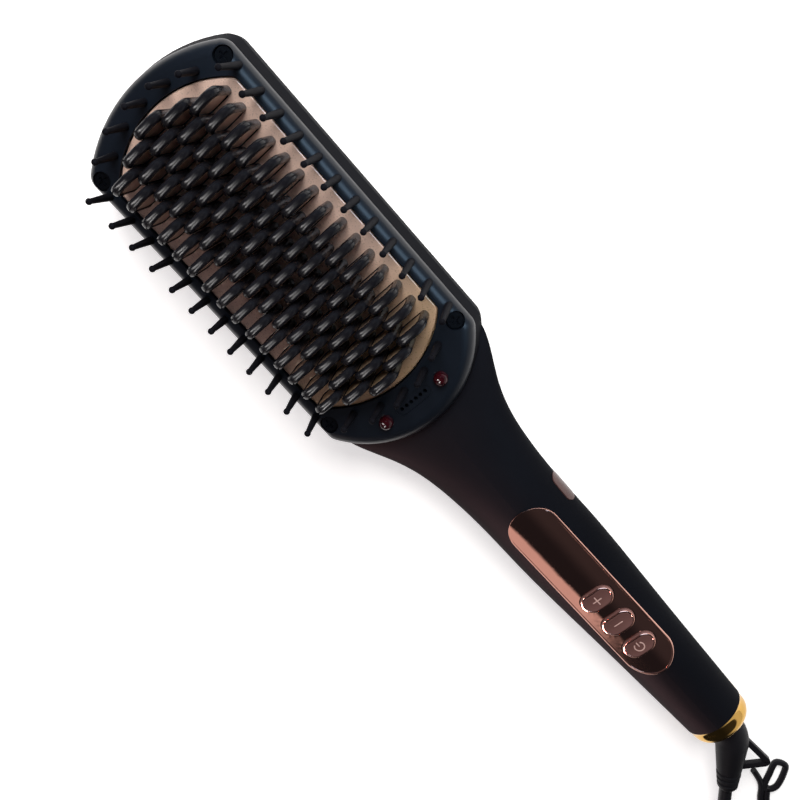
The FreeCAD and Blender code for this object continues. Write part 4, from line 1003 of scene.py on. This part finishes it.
class BRUSH_OT_buttons(bpy.types.Operator):
    """Moulds the three buttons and their marks"""

    bl_idname = "styling_brush.buttons"
    bl_label = "Buttons"
    depth = 4.6 * MM
    edge_round = 0.95 * MM
    dish = 0.1 * MM
    rim_inset = 0.5 * MM
    face_area = 10e-6
    mark_length = 3.6 * MM
    mark_thick = 0.3 * MM
    mark_sink = 0.12 * MM
    gap_bar = 2.0 * MM
    ring_radius = 1.75 * MM
    # Half the gap of the power mark's ring in degrees
    ring_gap = 38
    across = Matrix.Rotation(math.pi / 2, 3, "Z")
    slices = [i * MM for i in range(-5, 6)]

    def execute(self, context):
        sizes = context.scene.brush_sizes
        marks = {"plus": self.plus, "minus": self.minus, "power": self.power}
        for name, draw in marks.items():
            low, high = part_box(name + "_button")
            x = (low.x + high.x) / 2
            body = name + "_key"
            key = add_piece(name + "_cap", self.key(sizes, x), "rose_button", body, 50)
            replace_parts(key, name + "_button")
            rim = add_piece(name + "_rim", self.rim(sizes, x), "rose_mirror", body, 50)
            catch_light(rim, GLINT_GROUP)
            catch_light(rim, SHEEN_GROUP)
            bm = bmesh.new()
            draw(bm, sizes.mark_width)
            self.settle(bm, sizes, x)
            add_piece(name + "_mark", mesh_of(bm, name + "_mark"), "mark_pale", body)
        return {"FINISHED"}

    def key(self, sizes, x):
        """Oval key: rounded rim, shallow dish, domed to follow the panel."""
        bm = bmesh.new()
        oval_face(bm, sizes.button_length, sizes.button_width, 40)
        bmesh.ops.rotate(bm, verts=bm.verts[:], cent=(0, 0, 0), matrix=self.across)
        thicken(bm, (0, 0, -self.depth))
        soften(bm, rim_edges(bm, 0.0), self.edge_round, 4)
        top = [f for f in bm.faces if f.normal.z > 0.99 and f.calc_area() > self.face_area]
        bmesh.ops.inset_individual(bm, faces=top, thickness=0.25 * MM, use_even_offset=True)
        bmesh.ops.inset_individual(bm, faces=top, thickness=0.2 * MM, depth=-self.dish)
        slice_across(bm, 1, self.slices)
        self.settle(bm, sizes, x)
        return mesh_of(bm, "key")

    def rim(self, sizes, x):
        """Polished edge round the key's face."""
        bm = bmesh.new()
        length = sizes.button_length - self.rim_inset
        width = sizes.button_width - self.rim_inset
        bead(bm, length, width, across=0.7 * MM, height=0.6 * MM, proud=0.05 * MM, segments=40)
        bmesh.ops.rotate(bm, verts=bm.verts[:], cent=(0, 0, 0), matrix=self.across)
        slice_across(bm, 1, self.slices)
        self.settle(bm, sizes, x)
        return mesh_of(bm, "rim")

    def settle(self, bm, sizes, x):
        """Moves a drawing to its button and bends it to the handle's crown."""
        shift(bm, (x, 0, 0))
        lay_on_handle(bm, sizes.button_proud)

    def bar(self, bm, length, width, turn):
        """Short raised stroke with rounded edges."""
        block = bmesh.ops.create_cube(bm, size=1.0)["verts"]
        bmesh.ops.scale(bm, verts=block, vec=(length, width, self.mark_thick))
        bmesh.ops.translate(bm, verts=block, vec=(0, 0, -self.mark_sink))
        edges = list({e for v in block for e in v.link_edges})
        made = soften(bm, edges, 0.1 * MM, 2)["verts"]
        verts = list(set(made) | {v for v in block if v.is_valid})
        bmesh.ops.rotate(bm, verts=verts, cent=(0, 0, 0), matrix=Matrix.Rotation(turn, 3, "Z"))

    def plus(self, bm, stroke):
        self.bar(bm, self.mark_length, stroke, 0)
        self.bar(bm, self.mark_length, stroke, math.pi / 2)

    def minus(self, bm, stroke):
        self.bar(bm, self.mark_length, stroke, math.pi / 2)

    def power(self, bm, stroke):
        """Open ring with a bar in its gap, upright towards the head."""
        self.bar(bm, self.gap_bar, stroke, 0)
        shift(bm, (-self.gap_bar / 2, 0, 0))
        inner = self.ring_radius - stroke / 2
        outer = self.ring_radius + stroke / 2
        spots = ((inner, -0.25), (outer, -0.25), (outer, 0.03), (inner, 0.03))
        corners = [bm.verts.new((-r, 0, z * MM)) for r, z in spots]
        face = bm.faces.new(corners)
        start = Matrix.Rotation(math.radians(self.ring_gap), 3, "Z")
        bmesh.ops.rotate(bm, verts=corners, cent=(0, 0, 0), matrix=start)
        bmesh.ops.spin(
            bm, geom=[face, *face.edges, *corners], cent=(0, 0, 0), axis=(0, 0, 1),
            angle=math.radians(360 - 2 * self.ring_gap), steps=30, use_merge=False, use_duplicate=False)


class BRUSH_OT_panel_edge(bpy.types.Operator):
    """Adds the polished bead that edges the control panel"""

    bl_idname = "styling_brush.panel_edge"
    bl_label = "Panel edge"
    overlap = 0.1 * MM
    panel_proud = 0.4 * MM

    def execute(self, context):
        bm = bmesh.new()
        length = PANEL_HIGH.x - PANEL_LOW.x + 2 * self.overlap
        width = PANEL_HIGH.y - PANEL_LOW.y + 2 * self.overlap
        bead(bm, length, width, across=0.9 * MM, height=0.6 * MM, proud=0.18 * MM, segments=72)
        slice_across(bm, 0, [i * 8 * MM for i in range(-3, 4)])
        shift(bm, ((PANEL_LOW.x + PANEL_HIGH.x) / 2, 0, 0))
        lay_on_handle(bm, self.panel_proud)
        mesh = mesh_of(bm, "panel_edge")
        edge = add_piece("panel_edge", mesh, "rose_mirror", "brush", 50)
        catch_light(edge, GLINT_GROUP)
        return {"FINISHED"}


OPERATORS = (
    BRUSH_OT_stage, BRUSH_OT_finishes, BRUSH_OT_lead, BRUSH_OT_boot, BRUSH_OT_fin_caps,
    BRUSH_OT_buttons, BRUSH_OT_panel_edge,
)


class BRUSH_PT_build(bpy.types.Panel):
    """Lists the steps that dress the brush"""

    bl_idname = "BRUSH_PT_build"
    bl_label = "Styling brush"
    bl_space_type = "VIEW_3D"
    bl_region_type = "UI"
    bl_category = "Styling Brush"

    def draw(self, context):
        for group in ("brush_sizes", "brush_colours", "studio_light"):
            box = self.layout.box()
            settings = getattr(context.scene, group)
            for name in settings.__annotations__:
                box.prop(settings, name)
        for step in OPERATORS:
            self.layout.operator(step.bl_idname)


GROUPS = {"brush_sizes": BrushSizes, "brush_colours": BrushColours, "studio_light": StudioLight}


def register():
    for kind in (*GROUPS.values(), *OPERATORS, BRUSH_PT_build):
        bpy.utils.register_class(kind)
    for name, kind in GROUPS.items():
        setattr(bpy.types.Scene, name, PointerProperty(type=kind))


def unregister():
    for name in GROUPS:
        delattr(bpy.types.Scene, name)
    for kind in reversed((*GROUPS.values(), *OPERATORS, BRUSH_PT_build)):
        bpy.utils.unregister_class(kind)


def main():
    register()
    bpy.ops.styling_brush.stage()
    bpy.ops.styling_brush.finishes()
    bpy.ops.styling_brush.lead()
    bpy.ops.styling_brush.boot()
    bpy.ops.styling_brush.fin_caps()
    bpy.ops.styling_brush.buttons()
    bpy.ops.styling_brush.panel_edge()


if __name__ == "__main__":
    main()
